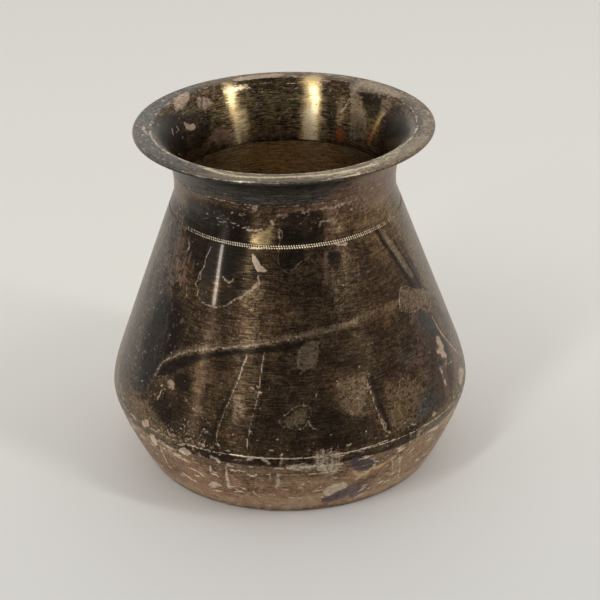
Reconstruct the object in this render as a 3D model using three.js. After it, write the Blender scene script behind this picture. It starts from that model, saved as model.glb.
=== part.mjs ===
// A lota: a small brass water pot, spun in three parts that are brazed together and turned on a lathe.
// Millimetres, +Z up. The origin is the centre of the foot, in the plane that the pot stands on.

import * as THREE from 'three';

// Heights above the table and outer radii
const height = 119.2;
const rimRadius = 50;
const flareHeight = 100.2;       // where the neck begins to open out into the rim
const flareRadius = 37.1;
const coneTopHeight = 94.7;
const coneTopRadius = 37.9;
const coneFootHeight = 37;
const coneFootRadius = 59.1;
const bellyHeight = 27.1;
const bellyRadius = 61.4;
const footRadius = 49.3;         // outer edge of the ring that touches the table

// Metal thicknesses and small radii
const wallThickness = 1.2;
const collarThickness = 1.5;
const lipThickness = 1.7;
const baseThickness = 1.4;
const footEdgeRadius = 0.9;
const footRingWidth = 6;
const footRecess = 0.6;          // how far the middle of the base stands clear of the table
const recessBevel = 0.6;

// Flat land on top of the rim
const landWidth = 5.3;
const landEdgeAngle = THREE.MathUtils.degToRad(15);

// How far each bend runs on along its tangent
const footReach = 3.2;
const footAngle = THREE.MathUtils.degToRad(50);
const bellyReachBelow = 5.6;
const bellyReachAbove = 2.5;
const throatReach = 2.2;
const flareReach = 12;
const flangeReach = 4.5;
const innerFlareReach = 10.5;
const innerLandReach = 3.4;

// Brazed seams, each given by its lower face
const seamThickness = 0.6;
const throatSeamHeight = 98.7;
const bellySeamHeight = 23.9;

// Turned decoration: each ring is a groove cut into the outside
const neckGroove = { height: 105.9, width: 0.5, depth: 0.18 };
const milledBand = { height: 91.9, width: 1.1, depth: 0.15 };
const upperBellyGroove = { height: 27.7, width: 0.6, depth: 0.2 };
const lowerBellyGroove = { height: 20.3, width: 0.6, depth: 0.2 };

// Fineness of the surfaces
const turns = 64;
const bendSteps = 5;
const footSteps = 3;
const lipSteps = 6;
const flareSteps = 8;
const sidesPerGroove = 3;

const point = (radius, z) => new THREE.Vector2(radius, z);

// A bend from one point to another that leaves and arrives along two given directions.
function bend(start, startWay, startReach, end, endWay, endReach, steps) {
  const first = start.clone().addScaledVector(startWay, startReach);
  const second = end.clone().addScaledVector(endWay, -endReach);
  return new THREE.CubicBezierCurve(start, first, second, end).getPoints(steps);
}

// The same outline moved sideways by a distance, to the left of its direction.
function offsetLine(line, distance) {
  return line.map((here, i) => {
    const before = line[Math.max(i - 1, 0)];
    const after = line[Math.min(i + 1, line.length - 1)];
    const way = after.clone().sub(before).normalize();
    return point(here.x - way.y * distance, here.y + way.x * distance);
  });
}

// The point where a rising outline reaches a height.
function atHeight(line, z) {
  const i = Math.max(line.findIndex((p) => p.y >= z), 1);
  const low = line[i - 1];
  const high = line[i];
  return low.clone().lerp(high, (z - low.y) / (high.y - low.y));
}

// The stretch of a rising outline between two heights, with a point exactly at each.
function between(line, low, high) {
  const inside = line.filter((p) => p.y > low && p.y < high);
  return [atHeight(line, low), ...inside, atHeight(line, high)];
}

// A flat-bottomed groove cut into a rising outline.
function cutGroove(line, groove) {
  const low = groove.height - groove.width / 2;
  const high = groove.height + groove.width / 2;
  const floor = [];
  for (let i = 1; i < sidesPerGroove; i += 1) {
    const z = low + (groove.width * i) / sidesPerGroove;
    const p = atHeight(line, z);
    floor.push(point(p.x - groove.depth, z));
  }
  const below = line.filter((p) => p.y < low);
  const above = line.filter((p) => p.y > high);
  return [...below, atHeight(line, low), ...floor, atHeight(line, high), ...above];
}

const up = point(0, 1);
const outward = point(1, 0);

// Outer outline of the body, from the foot to the throat
const coneFoot = point(coneFootRadius, coneFootHeight);
const coneTop = point(coneTopRadius, coneTopHeight);
const coneWay = coneTop.clone().sub(coneFoot).normalize();
const footWay = point(Math.cos(footAngle), Math.sin(footAngle));
const belly = point(bellyRadius, bellyHeight);
const flareStart = point(flareRadius, flareHeight);

function footEdge() {
  const centre = point(footRadius, footEdgeRadius);
  const points = [];
  for (let i = 0; i <= footSteps; i += 1) {
    const turn = (i / footSteps) * footAngle;
    points.push(point(centre.x + footEdgeRadius * Math.sin(turn), centre.y - footEdgeRadius * Math.cos(turn)));
  }
  return points;
}

const foot = footEdge();
const lowerWall = bend(foot[foot.length - 1], footWay, footReach, belly, up, bellyReachBelow, bendSteps);
const bellyBend = bend(belly, up, bellyReachAbove, coneFoot, coneWay, bellyReachAbove, bendSteps);
const throatBend = bend(coneTop, coneWay, throatReach, flareStart, up, throatReach, bendSteps);
const bodyLine = [...foot, ...lowerWall.slice(1), ...bellyBend.slice(1), ...throatBend];
const bodyInside = offsetLine(bodyLine, wallThickness);
const decoratedBody = [lowerBellyGroove, upperBellyGroove, milledBand].reduce(cutGroove, bodyLine);

// Outer outline of the collar, from the throat up and out to the underside of the lip
const lipCentre = point(rimRadius - lipThickness / 2, height - lipThickness / 2);
const lipUnderside = point(lipCentre.x, height - lipThickness);
const flare = bend(flareStart, up, flareReach, lipUnderside, outward, flangeReach, flareSteps);
const collarLine = cutGroove([...throatBend.slice(0, -1), ...flare], neckGroove);

function lipEdge() {
  const points = [];
  for (let i = 1; i < lipSteps; i += 1) {
    const turn = (i / lipSteps) * Math.PI - Math.PI / 2;
    const reach = lipThickness / 2;
    points.push(point(lipCentre.x + reach * Math.cos(turn), lipCentre.y + reach * Math.sin(turn)));
  }
  return points;
}

// Inner outline of the collar, from the sharp edge at the throat up to the flat land
const collarFootHeight = throatSeamHeight + seamThickness;
const creaseRadius = atHeight(collarLine, collarFootHeight).x - collarThickness;
const crease = point(creaseRadius, collarFootHeight);
const landOuter = point(lipCentre.x, height);
const landInner = point(lipCentre.x - landWidth, height);
const landWay = point(Math.cos(landEdgeAngle), Math.sin(landEdgeAngle));
const innerFlare = bend(crease, up, innerFlareReach, landInner, landWay, innerLandReach, flareSteps);

// The wall's inner outline meets the crease at the top, so that the inside has no step there.
const wallTop = point(creaseRadius, throatSeamHeight);
const wallInside = [...bodyInside.filter((p) => p.y < coneTopHeight), wallTop];

function collarProfile() {
  const outside = collarLine.filter((p) => p.y > collarFootHeight);
  const inside = innerFlare.slice().reverse();
  return [atHeight(collarLine, collarFootHeight), ...outside, ...lipEdge(), landOuter, ...inside];
}

function wallProfile() {
  const low = bellySeamHeight + seamThickness;
  const inside = between(wallInside, low, throatSeamHeight).reverse();
  return [...between(decoratedBody, low, throatSeamHeight), ...inside];
}

function bowlProfile() {
  const floorHeight = footRecess + baseThickness;
  const recessRadius = footRadius - footRingWidth;
  const underside = [
    point(0, footRecess),
    point(recessRadius - recessBevel, footRecess),
    point(recessRadius, 0),
    foot[0],
  ];
  const outside = decoratedBody.filter((p) => p.y > 0 && p.y < bellySeamHeight);
  const rim = atHeight(decoratedBody, bellySeamHeight);
  const inside = between(bodyInside, floorHeight, bellySeamHeight).reverse();
  return [...underside, ...outside, rim, ...inside, point(0, floorHeight)];
}

// A seam fills the gap between two walls, flush with both of them.
function seamProfile(outside, inside, low) {
  const high = low + seamThickness;
  return [atHeight(outside, low), atHeight(outside, high), atHeight(inside, high), atHeight(inside, low)];
}

function turned(name, profile, closed, colour, roughness) {
  const outline = closed ? [...profile, profile[0].clone()] : profile;
  const geometry = new THREE.LatheGeometry(outline, turns);
  geometry.rotateX(Math.PI / 2);
  const material = new THREE.MeshStandardMaterial({ color: colour, roughness, metalness: 1 });
  const mesh = new THREE.Mesh(geometry, material);
  mesh.name = name;
  return mesh;
}

const bodyColour = 0x4a4034;
const baseColour = 0x6b5d4c;
const brazeColour = 0xa08a55;
const throatInside = [wallTop, crease];

const lota = new THREE.Group();
lota.name = 'lota';
lota.add(turned('neck_collar', collarProfile(), true, bodyColour, 0.35));
lota.add(turned('throat_braze', seamProfile(decoratedBody, throatInside, throatSeamHeight), true, brazeColour, 0.4));
lota.add(turned('shoulder_wall', wallProfile(), true, bodyColour, 0.4));
lota.add(turned('belly_braze', seamProfile(decoratedBody, bodyInside, bellySeamHeight), true, brazeColour, 0.4));
lota.add(turned('base_bowl', bowlProfile(), false, baseColour, 0.45));

export default lota;
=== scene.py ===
from math import cos, pi, radians, sin

import bpy
import numpy as np
from mathutils import Matrix, Vector


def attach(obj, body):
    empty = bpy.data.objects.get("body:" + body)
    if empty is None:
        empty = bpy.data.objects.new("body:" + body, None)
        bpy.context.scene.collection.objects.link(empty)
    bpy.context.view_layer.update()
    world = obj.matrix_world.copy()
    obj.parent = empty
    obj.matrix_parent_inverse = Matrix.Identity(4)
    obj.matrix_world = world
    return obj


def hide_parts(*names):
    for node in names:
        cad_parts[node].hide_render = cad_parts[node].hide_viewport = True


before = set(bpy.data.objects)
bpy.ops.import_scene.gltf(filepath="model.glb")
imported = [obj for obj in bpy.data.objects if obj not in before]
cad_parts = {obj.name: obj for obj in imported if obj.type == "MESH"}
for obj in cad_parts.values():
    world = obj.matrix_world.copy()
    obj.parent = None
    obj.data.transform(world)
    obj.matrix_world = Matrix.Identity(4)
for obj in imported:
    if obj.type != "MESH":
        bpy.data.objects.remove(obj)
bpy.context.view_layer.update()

scene = bpy.context.scene
scene.view_settings.view_transform = "Standard"
mm = 0.001

# Angles round the pot are in degrees: 0 faces the camera, 90 is the right side, 180 the back.
# Lengths are in millimetres until they go into a mesh.

# Camera
cameraSetting = {
    "distance": 616.7,        # in front of the pot's axis
    "height": 359.1,
    "pitchDown": 26.33,
    "yaw": 0.38,
    "roll": -1.31,
    "lens": 120,
    "sensor": 36,
}


def makeCamera(s):
    pitch, yaw, roll = radians(s["pitchDown"]), radians(s["yaw"]), radians(s["roll"])
    forward = Vector((sin(yaw) * cos(pitch), cos(yaw) * cos(pitch), -sin(pitch)))
    right = Vector((cos(yaw), -sin(yaw), 0))
    up = right.cross(forward)
    side = right * cos(roll) + up * sin(roll)
    top = up * cos(roll) - right * sin(roll)
    data = bpy.data.cameras.new("camera")
    data.lens = s["lens"]
    data.sensor_width = s["sensor"]
    camera = bpy.data.objects.new("camera", data)
    turn = Matrix((side, top, -forward)).transposed().to_4x4()
    camera.matrix_world = Matrix.Translation((0, -s["distance"] * mm, s["height"] * mm)) @ turn
    scene.collection.objects.link(camera)
    scene.camera = camera


makeCamera(cameraSetting)
print("camera placed")


# One socket of a material, so that shader maths reads as plain arithmetic
class Wire:
    def __init__(self, paint, socket):
        self.paint = paint
        self.socket = socket

    def __add__(self, other):
        return self.paint.maths("ADD", self, other)

    def __radd__(self, other):
        return self.paint.maths("ADD", other, self)

    def __sub__(self, other):
        return self.paint.maths("SUBTRACT", self, other)

    def __rsub__(self, other):
        return self.paint.maths("SUBTRACT", other, self)

    def __mul__(self, other):
        return self.paint.maths("MULTIPLY", self, other)

    def __rmul__(self, other):
        return self.paint.maths("MULTIPLY", other, self)


# The nodes of one material or of the world
class Paint:
    def __init__(self, owner):
        owner.use_nodes = True
        self.tree = owner.node_tree
        self.tree.nodes.clear()

    def node(self, kind, settings, sockets, out=0):
        made = self.tree.nodes.new(kind)
        for key, value in settings.items():
            if key == "stops":
                for i, (place, colour) in enumerate(value):
                    stop = made.color_ramp.elements[i] if i < 2 else made.color_ramp.elements.new(place)
                    stop.position = place
                    stop.color = colour
            else:
                setattr(made, key, value)
        for key, value in sockets.items():
            if isinstance(value, Wire):
                self.tree.links.new(value.socket, made.inputs[key])
            else:
                made.inputs[key].default_value = value
        return Wire(self, made.outputs[out]) if made.outputs else None

    def maths(self, operation, *values):
        return self.node("ShaderNodeMath", {"operation": operation}, dict(enumerate(values)))

    def blend(self, low, high, share):
        return self.node("ShaderNodeMix", {"data_type": "RGBA"}, {0: share, 6: low, 7: high}, 2)

    # 0 below the first value, 1 above the second, with soft ends
    def rise(self, value, low, high):
        sockets = {"Value": value, "From Min": low, "From Max": high}
        return self.node("ShaderNodeMapRange", {"interpolation_type": "SMOOTHSTEP"}, sockets)

    def vector(self, x, y, z):
        return self.node("ShaderNodeCombineXYZ", {}, {0: x, 1: y, 2: z})

    def noise(self, place, scale, detail=3, rough=0.55, distort=0):
        sockets = {"Vector": place, "Scale": scale, "Detail": detail}
        return self.node("ShaderNodeTexNoise", {}, {**sockets, "Roughness": rough, "Distortion": distort})

    def attribute(self, name):
        return self.node("ShaderNodeAttribute", {"attribute_name": name}, {}, 2)


# A colour as it looks on the screen, 0 to 255, turned into the shader's linear values
def seen(red, green, blue):
    linear = [((v / 255 + 0.055) / 1.055) ** 2.4 for v in (red, green, blue)]
    return (*linear, 1)


# Outline of the pot
potShape = {
    "height": 119.2,
    "rimRadius": 50,
    "flareHeight": 100.2,
    "flareRadius": 37.1,
    "coneTopHeight": 94.7,
    "coneTopRadius": 37.9,
    "coneFootHeight": 37,
    "coneFootRadius": 59.1,
    "bellyHeight": 27.1,
    "bellyRadius": 61.4,
    "footRadius": 49.3,
    "wallThickness": 1.2,
    "collarThickness": 1.5,
    "lipThickness": 1.7,
    "landWidth": 5.3,
    "footEdgeRadius": 0.9,
    "footAngle": 50,
    "landEdgeAngle": 15,
    # how far each bend runs on along its two ends
    "footReach": 3.2,
    "bellyReachBelow": 5.6,
    "bellyReachAbove": 2.5,
    "throatReach": 2.2,
    "flareReach": 12,
    "flangeReach": 4.5,
    "innerFlareReach": 10.5,
    "innerLandReach": 3.4,
    "throatSeam": (98.7, 99.3),
    "bellySeam": (23.9, 24.5),
    "skin": 0.01,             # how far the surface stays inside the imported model
    "fineSteps": 400,         # points along the long stretches
    "flareSteps": 300,
    "creaseSteps": 20,
}


# A cubic Bezier curve that leaves its start and reaches its end along two given directions
def bend(start, startWay, startReach, end, endWay, endReach, count=120):
    start, end = np.array(start, float), np.array(end, float)
    first = start + np.array(startWay) * startReach
    second = end - np.array(endWay) * endReach
    t = np.linspace(0, 1, count)[:, None]
    return (1 - t) ** 3 * start + 3 * (1 - t) ** 2 * t * first + 3 * (1 - t) * t ** 2 * second + t ** 3 * end


# An arc about a centre, from one angle to another, 0 straight down and 90 outwards
def arc(centre, radius, low, high, count=24):
    turn = np.radians(np.linspace(low, high, count))
    return np.column_stack([centre[0] + radius * np.sin(turn), centre[1] - radius * np.cos(turn)])


def straight(start, end, count):
    return np.linspace(start, end, count)


def joined(*lines):
    return np.concatenate([lines[0]] + [line[1:] for line in lines[1:]])


def outlines(s):
    up, outward = (0, 1), (1, 0)
    coneFoot = np.array((s["coneFootRadius"], s["coneFootHeight"]))
    coneTop = np.array((s["coneTopRadius"], s["coneTopHeight"]))
    coneWay = (coneTop - coneFoot) / np.linalg.norm(coneTop - coneFoot)
    footWay = (cos(radians(s["footAngle"])), sin(radians(s["footAngle"])))
    belly = (s["bellyRadius"], s["bellyHeight"])
    flareStart = (s["flareRadius"], s["flareHeight"])
    foot = arc((s["footRadius"], s["footEdgeRadius"]), s["footEdgeRadius"], 0, s["footAngle"])
    lower = bend(foot[-1], footWay, s["footReach"], belly, up, s["bellyReachBelow"], s["fineSteps"])
    bellyBend = bend(belly, up, s["bellyReachAbove"], coneFoot, coneWay, s["bellyReachAbove"])
    throat = bend(coneTop, coneWay, s["throatReach"], flareStart, up, s["throatReach"])
    body = joined(foot, lower, bellyBend, straight(coneFoot, coneTop, s["fineSteps"]), throat)
    half = s["lipThickness"] / 2
    lipCentre = (s["rimRadius"] - half, s["height"] - half)
    underLip = (lipCentre[0], lipCentre[1] - half)
    flare = bend(flareStart, up, s["flareReach"], underLip, outward, s["flangeReach"], s["flareSteps"])
    collar = joined(throat, flare)
    collarFoot = s["throatSeam"][1]
    crease = np.interp(collarFoot, collar[:, 1], collar[:, 0]) - s["collarThickness"]
    landInner = (lipCentre[0] - s["landWidth"], s["height"])
    landWay = (cos(radians(s["landEdgeAngle"])), sin(radians(s["landEdgeAngle"])))
    inner = bend((crease, collarFoot), up, s["innerFlareReach"], landInner, landWay, s["innerLandReach"],
                 s["flareSteps"])
    way = np.gradient(body, axis=0)
    way /= np.linalg.norm(way, axis=1)[:, None]
    inside = body + np.column_stack([-way[:, 1], way[:, 0]]) * s["wallThickness"]
    inside = inside[inside[:, 1] < s["coneTopHeight"]]
    inside = joined(inside, straight(inside[-1], (crease, s["throatSeam"][0]), s["creaseSteps"]))
    lines = {"body": body, "collar": collar, "inner": inner, "inside": inside}
    return {**lines, "lip": lipCentre, "crease": crease}


outline = outlines(potShape)


def clipped(line, low, high):
    ends = [(np.interp(z, line[:, 1], line[:, 0]), z) for z in (low, high)]
    middle = line[(line[:, 1] > low) & (line[:, 1] < high)]
    return np.concatenate([[ends[0]], middle, [ends[1]]])


# Distance along a line up to each of its points
def lengthsOf(line):
    return np.concatenate([[0], np.cumsum(np.linalg.norm(np.diff(line, axis=0), axis=1))])


grooveClear = 0.62            # no even step comes nearer to a groove than this share of its width
grooveRows = np.array([-0.6, -0.4, -0.2, 0, 0.2, 0.4, 0.6])


# Points along a line at equal steps, with closer ones where a groove lies. A groove is one cosine wave.
def stepped(line, step, grooves=()):
    along = lengthsOf(line)
    places = np.linspace(0, along[-1], max(2, round(along[-1] / step) + 1))
    for groove in grooves:
        if line[:, 1].min() < groove["height"] < line[:, 1].max():
            middle = np.interp(groove["height"], line[:, 1], along)
            places = places[abs(places - middle) > groove["width"] * grooveClear]
            places = np.append(places, middle + grooveRows * groove["width"])
    places = np.unique(np.clip(places, 0, along[-1]))
    radius = np.interp(places, along, line[:, 0])
    height = np.interp(places, along, line[:, 1])
    for groove in grooves:
        off = np.clip(abs(height - groove["height"]) / (groove["width"] * 0.5), 0, 1)
        radius = radius - groove["depth"] * (0.5 + 0.5 * np.cos(pi * off))
    return np.column_stack([radius, height])


# Columns round the pot: a fine share of them on the side that faces the camera
def columns(count, fineHalf=80, fineShare=0.66):
    fine = round(count * fineShare)
    front = np.linspace(-fineHalf, fineHalf, fine, endpoint=False)
    back = np.linspace(fineHalf, 360 - fineHalf, count - fine, endpoint=False)
    return np.concatenate([front, back])


# A sum of sine waves over two values, each given as (size, per first value, per second, start)
def waves(first, second, table):
    return sum(size * np.sin(f * first + g * second + start) for size, f, g, start in table)


unevenSetting = {
    "depth": 0.028,
    "waves": [(1, 3, 0.05, 0), (0.7, 5, -0.09, 1), (0.5, 8, 0.16, 2), (0.35, 13, -0.21, 0)],
}


# Hammer marks left under the turning: long waves round and up the pot, inwards only
def unevenness(angle, height, s):
    highest = sum(wave[0] for wave in s["waves"])
    return -s["depth"] * (highest + waves(np.radians(angle), height, s["waves"]))


poleRadius = 0.5              # nearer to the axis than this the metal is left even


# A turned piece: at angle a and profile point (r, h) the surface is at (r sin a, -r cos a, h)
def turnedPiece(name, rows, angles, loop, relief=None, sharp=38):
    rows = np.asarray(rows, float)
    angle, height = np.meshgrid(angles, rows[:, 1])
    radius = np.repeat(rows[:, :1], len(angles), axis=1)
    moved = radius + unevenness(angle, height, unevenSetting) - potShape["skin"]
    radius = np.where(radius > poleRadius, moved, radius)
    if relief is not None:
        radius = radius + relief(angle, height, radius)
    a = np.radians(angle)
    points = np.stack([radius * np.sin(a), -radius * np.cos(a), height], -1)
    rowCount, columnCount = angle.shape
    if loop:
        index = np.arange(rowCount * columnCount).reshape(rowCount, columnCount)
        lower, upper = index, np.roll(index, -1, axis=0)
        faces = []
    else:                                        # both ends are single points on the axis
        index = 1 + np.arange((rowCount - 2) * columnCount).reshape(rowCount - 2, columnCount)
        lower, upper = index[:-1], index[1:]
        start, end = np.full(columnCount, 0), np.full(columnCount, index[-1, -1] + 1)
        faces = np.stack([start, np.roll(index[0], -1), index[0]], -1).tolist()
        faces += np.stack([index[-1], np.roll(index[-1], -1), end], -1).tolist()
    quads = np.stack([lower, np.roll(lower, -1, axis=1), np.roll(upper, -1, axis=1), upper], -1)
    faces += quads.reshape(-1, 4).tolist()
    mesh = bpy.data.meshes.new(name)
    mesh.from_pydata(inOrder(points * mm, loop).tolist(), [], faces)
    mesh.polygons.foreach_set("use_smooth", [True] * len(mesh.polygons))
    mesh.set_sharp_from_angle(angle=radians(sharp))
    piece = bpy.data.objects.new(name, mesh)
    scene.collection.objects.link(piece)
    grid = {"piece": piece, "loop": loop, "angle": angle, "height": height, "radius": radius}
    store(grid, "lathe", np.repeat(lengthsOf(rows)[:, None], columnCount, axis=1))
    return grid


# The grid's values in the order of the mesh's points, each pole only once
def inOrder(values, loop):
    if loop:
        return values.reshape(-1, *values.shape[2:])
    middle = values[1:-1].reshape(-1, *values.shape[2:])
    return np.concatenate([values[:1, 0], middle, values[-1:, 0]])


def store(grid, name, values):
    layer = grid["piece"].data.attributes.new(name, "FLOAT", "POINT")
    layer.data.foreach_set("value", inOrder(values, grid["loop"]).astype(np.float32))


grooves = {
    "neckLine": {"height": 105.9, "width": 0.6, "depth": 0.14},
    "milledBand": {"height": 91.9, "width": 1.5, "depth": 0.3},
    "upperBellyLine": {"height": 27.7, "width": 0.6, "depth": 0.16},
    "lowerBellyLine": {"height": 20.3, "width": 0.6, "depth": 0.14},
}

# Neck collar
collarSetting = {
    "outsideStep": 0.5,
    "insideStep": 0.45,
    "lipSteps": 14,
    "columns": 512,
    "crownFrom": 118,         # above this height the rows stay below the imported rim
}


def makeCollar(s):
    lowest = potShape["throatSeam"][1]
    outside = clipped(outline["collar"], lowest, outline["collar"][-1, 1])
    outside = stepped(outside, s["outsideStep"], [grooves["neckLine"]])
    lip = arc(outline["lip"], potShape["lipThickness"] / 2, 0, 180, s["lipSteps"])
    landInner = outline["inner"][-1]
    land = stepped(np.array([lip[-1], landInner]), s["insideStep"])
    inner = stepped(outline["inner"][::-1], s["insideStep"])
    rows = joined(outside, lip, land, inner)
    rows[:, 1] -= np.where(rows[:, 1] > s["crownFrom"], potShape["skin"], 0)
    grid = turnedPiece("neck_collar_turned", rows, np.linspace(0, 360, s["columns"], endpoint=False), True)
    lipMiddle = len(outside) + len(lip) // 2
    grid["outside"] = slice(0, lipMiddle)
    grid["inside"] = slice(lipMiddle, len(rows))
    return grid


collar = makeCollar(collarSetting)

# Shoulder wall
wallSetting = {"outsideStep": 0.52, "insideStep": 3, "columns": 512}


def makeWall(s):
    low, high = potShape["bellySeam"][1], potShape["throatSeam"][0]
    cut = [grooves["milledBand"], grooves["upperBellyLine"]]
    outside = stepped(clipped(outline["body"], low, high), s["outsideStep"], cut)
    inside = stepped(clipped(outline["inside"], low, high)[::-1], s["insideStep"])
    rows = np.concatenate([outside, inside])
    grid = turnedPiece("shoulder_wall_turned", rows, columns(s["columns"]), True)
    grid["outside"] = slice(0, len(outside))
    grid["cavity"] = slice(len(outside), len(rows))
    return grid


wall = makeWall(wallSetting)

# Bowl
bowlSetting = {
    "outsideStep": 0.5,
    "insideStep": 1.6,
    "columns": 512,
    "footRingWidth": 6,
    "recess": 0.6,
    "bevel": 0.6,
    "floorThickness": 1.4,
    "underRings": [12, 25, 38],       # radii of the lines turned into the underside
    "ringDepth": 0.12,
    "ringWidth": 0.8,
    "underStep": 0.9,
    "footStep": 1,
}


def makeBowl(s):
    high = potShape["bellySeam"][0]
    ringInner = potShape["footRadius"] - s["footRingWidth"]
    ringOuter = potShape["footRadius"]
    under = stepped(np.array([(0, s["recess"]), (ringInner - s["bevel"], s["recess"])]), s["underStep"])
    for ring in s["underRings"]:
        under[:, 1] += s["ringDepth"] * np.exp(-((under[:, 0] - ring) / s["ringWidth"]) ** 2)
    footRing = stepped(np.array([(ringInner, 0), (ringOuter, 0)]), s["footStep"])
    outside = stepped(clipped(outline["body"], 0, high), s["outsideStep"], [grooves["lowerBellyLine"]])
    floor = s["recess"] + s["floorThickness"]
    inside = stepped(clipped(outline["inside"], floor, high)[::-1], s["insideStep"])
    middle = stepped(np.array([inside[-1], (0, floor)]), s["insideStep"])
    rows = np.concatenate([under, footRing, outside[1:], inside, middle[1:]])
    grid = turnedPiece("base_bowl_turned", rows, columns(s["columns"]), False)
    first = len(under) + len(footRing)
    last = first + len(outside) - 1
    grid["outside"] = slice(first, last)
    grid["cavity"] = slice(last, len(rows))
    return grid


bowl = makeBowl(bowlSetting)


# Brazed seams, turned flush with the walls on both sides
seamSetting = {"outsideStep": 0.2, "insideStep": 0.3, "columns": 384}


def makeSeam(name, low, high, inner, s):
    outside = stepped(clipped(outline["body"], low, high), s["outsideStep"])
    inside = stepped(clipped(inner, low, high)[::-1], s["insideStep"])
    grid = turnedPiece(name, np.concatenate([outside, inside]), columns(s["columns"]), True)
    grid["outside"] = slice(0, len(outside))
    return grid


throatInner = np.array([(outline["crease"], height) for height in potShape["throatSeam"]])
throatSeam = makeSeam("throat_braze_turned", *potShape["throatSeam"], throatInner, seamSetting)
bellySeam = makeSeam("belly_braze_turned", *potShape["bellySeam"], outline["inside"], seamSetting)

# Milled band: two rows of small slanted beads rolled into a shallow groove
milledSetting = {
    "height": 91.9,
    "width": 1.4,
    "beads": 300,
    "beadHeight": 0.26,
    "columnsPerBead": 5,
    "rows": 15,
    "depth": 0.7,             # how far the ring reaches into the wall
    "sink": 0.24,             # how far the valleys lie below the wall's face
    "slant": 1.8,
    "fullness": 0.8,
    "sharp": 60,
}


def makeMilledBand(s):
    half = s["width"] / 2
    height = np.linspace(s["height"] - half, s["height"] + half, s["rows"])
    radius = np.interp(height, outline["body"][:, 1], outline["body"][:, 0]) - s["sink"]
    back = [(radius[-1] - s["depth"], height[-1]), (radius[0] - s["depth"], height[0])]
    rows = np.concatenate([np.column_stack([radius, height]), back])

    # the beads rise and fall as a cosine round the pot, slanted, and the two rows meet in a valley
    def beads(angle, z, r):
        across = np.clip((z - s["height"]) / half, -1, 1)
        bead = 0.5 + 0.5 * np.cos(np.radians(angle) * s["beads"] + s["slant"] * across)
        crown = np.sin(pi * np.clip(abs(across), 0, 1)) ** s["fullness"]
        outer = r > radius.min() - s["depth"] * 0.5
        return np.where(outer, s["beadHeight"] * crown * bead, 0)

    angles = np.linspace(0, 360, s["beads"] * s["columnsPerBead"], endpoint=False)
    grid = turnedPiece("milled_band", rows, angles, True, beads, s["sharp"])
    grid["outside"] = slice(0, s["rows"])
    grid["crown"] = beads(grid["angle"], grid["height"], grid["radius"]) / s["beadHeight"]
    return grid


milled = makeMilledBand(milledSetting)
print("pieces turned")


# Stains. Each is a line, a closed ring or a filled patch drawn on the metal, as
# (angle, height) on the outside and (angle, distance up from the crease) inside the mouth. A kind
# of stain becomes one attribute, 0 where there is none, and the finish turns that into a look.
# A line or ring is given as kind, width, soft edge, strength and points, a patch without the width.
# A width of several values changes along the line. Waver is how much an edge trembles.
# Besides real stains, several kinds also carry painted highlights, painted reflections and painted shade;
# the marks that do say so where they stand.
stainKinds = ["scale", "hazeAndSheen", "sootAndShade", "rubAndShine", "brass", "film", "warm", "brown", "clean", "net",
              "satinAndSheen", "copperAndShine", "lined"]


def drawn(shape, kind, width, soft, strength, points, waver):
    return {"shape": shape, "kind": kind, "width": width, "soft": soft, "strength": strength,
            "points": points, "waver": waver}


def line(kind, width, soft, strength, *points, waver=1):
    return drawn("line", kind, width, soft, strength, points, waver)


def ring(kind, width, soft, strength, *points, waver=1):
    return drawn("ring", kind, width, soft, strength, points, waver)


def patch(kind, soft, strength, *points, waver=1):
    return drawn("patch", kind, 0, soft, strength, points, waver)


# the same height all round the pot
def allRound(height):
    return [(angle, height) for angle in range(-180, 181, 20)]


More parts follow.
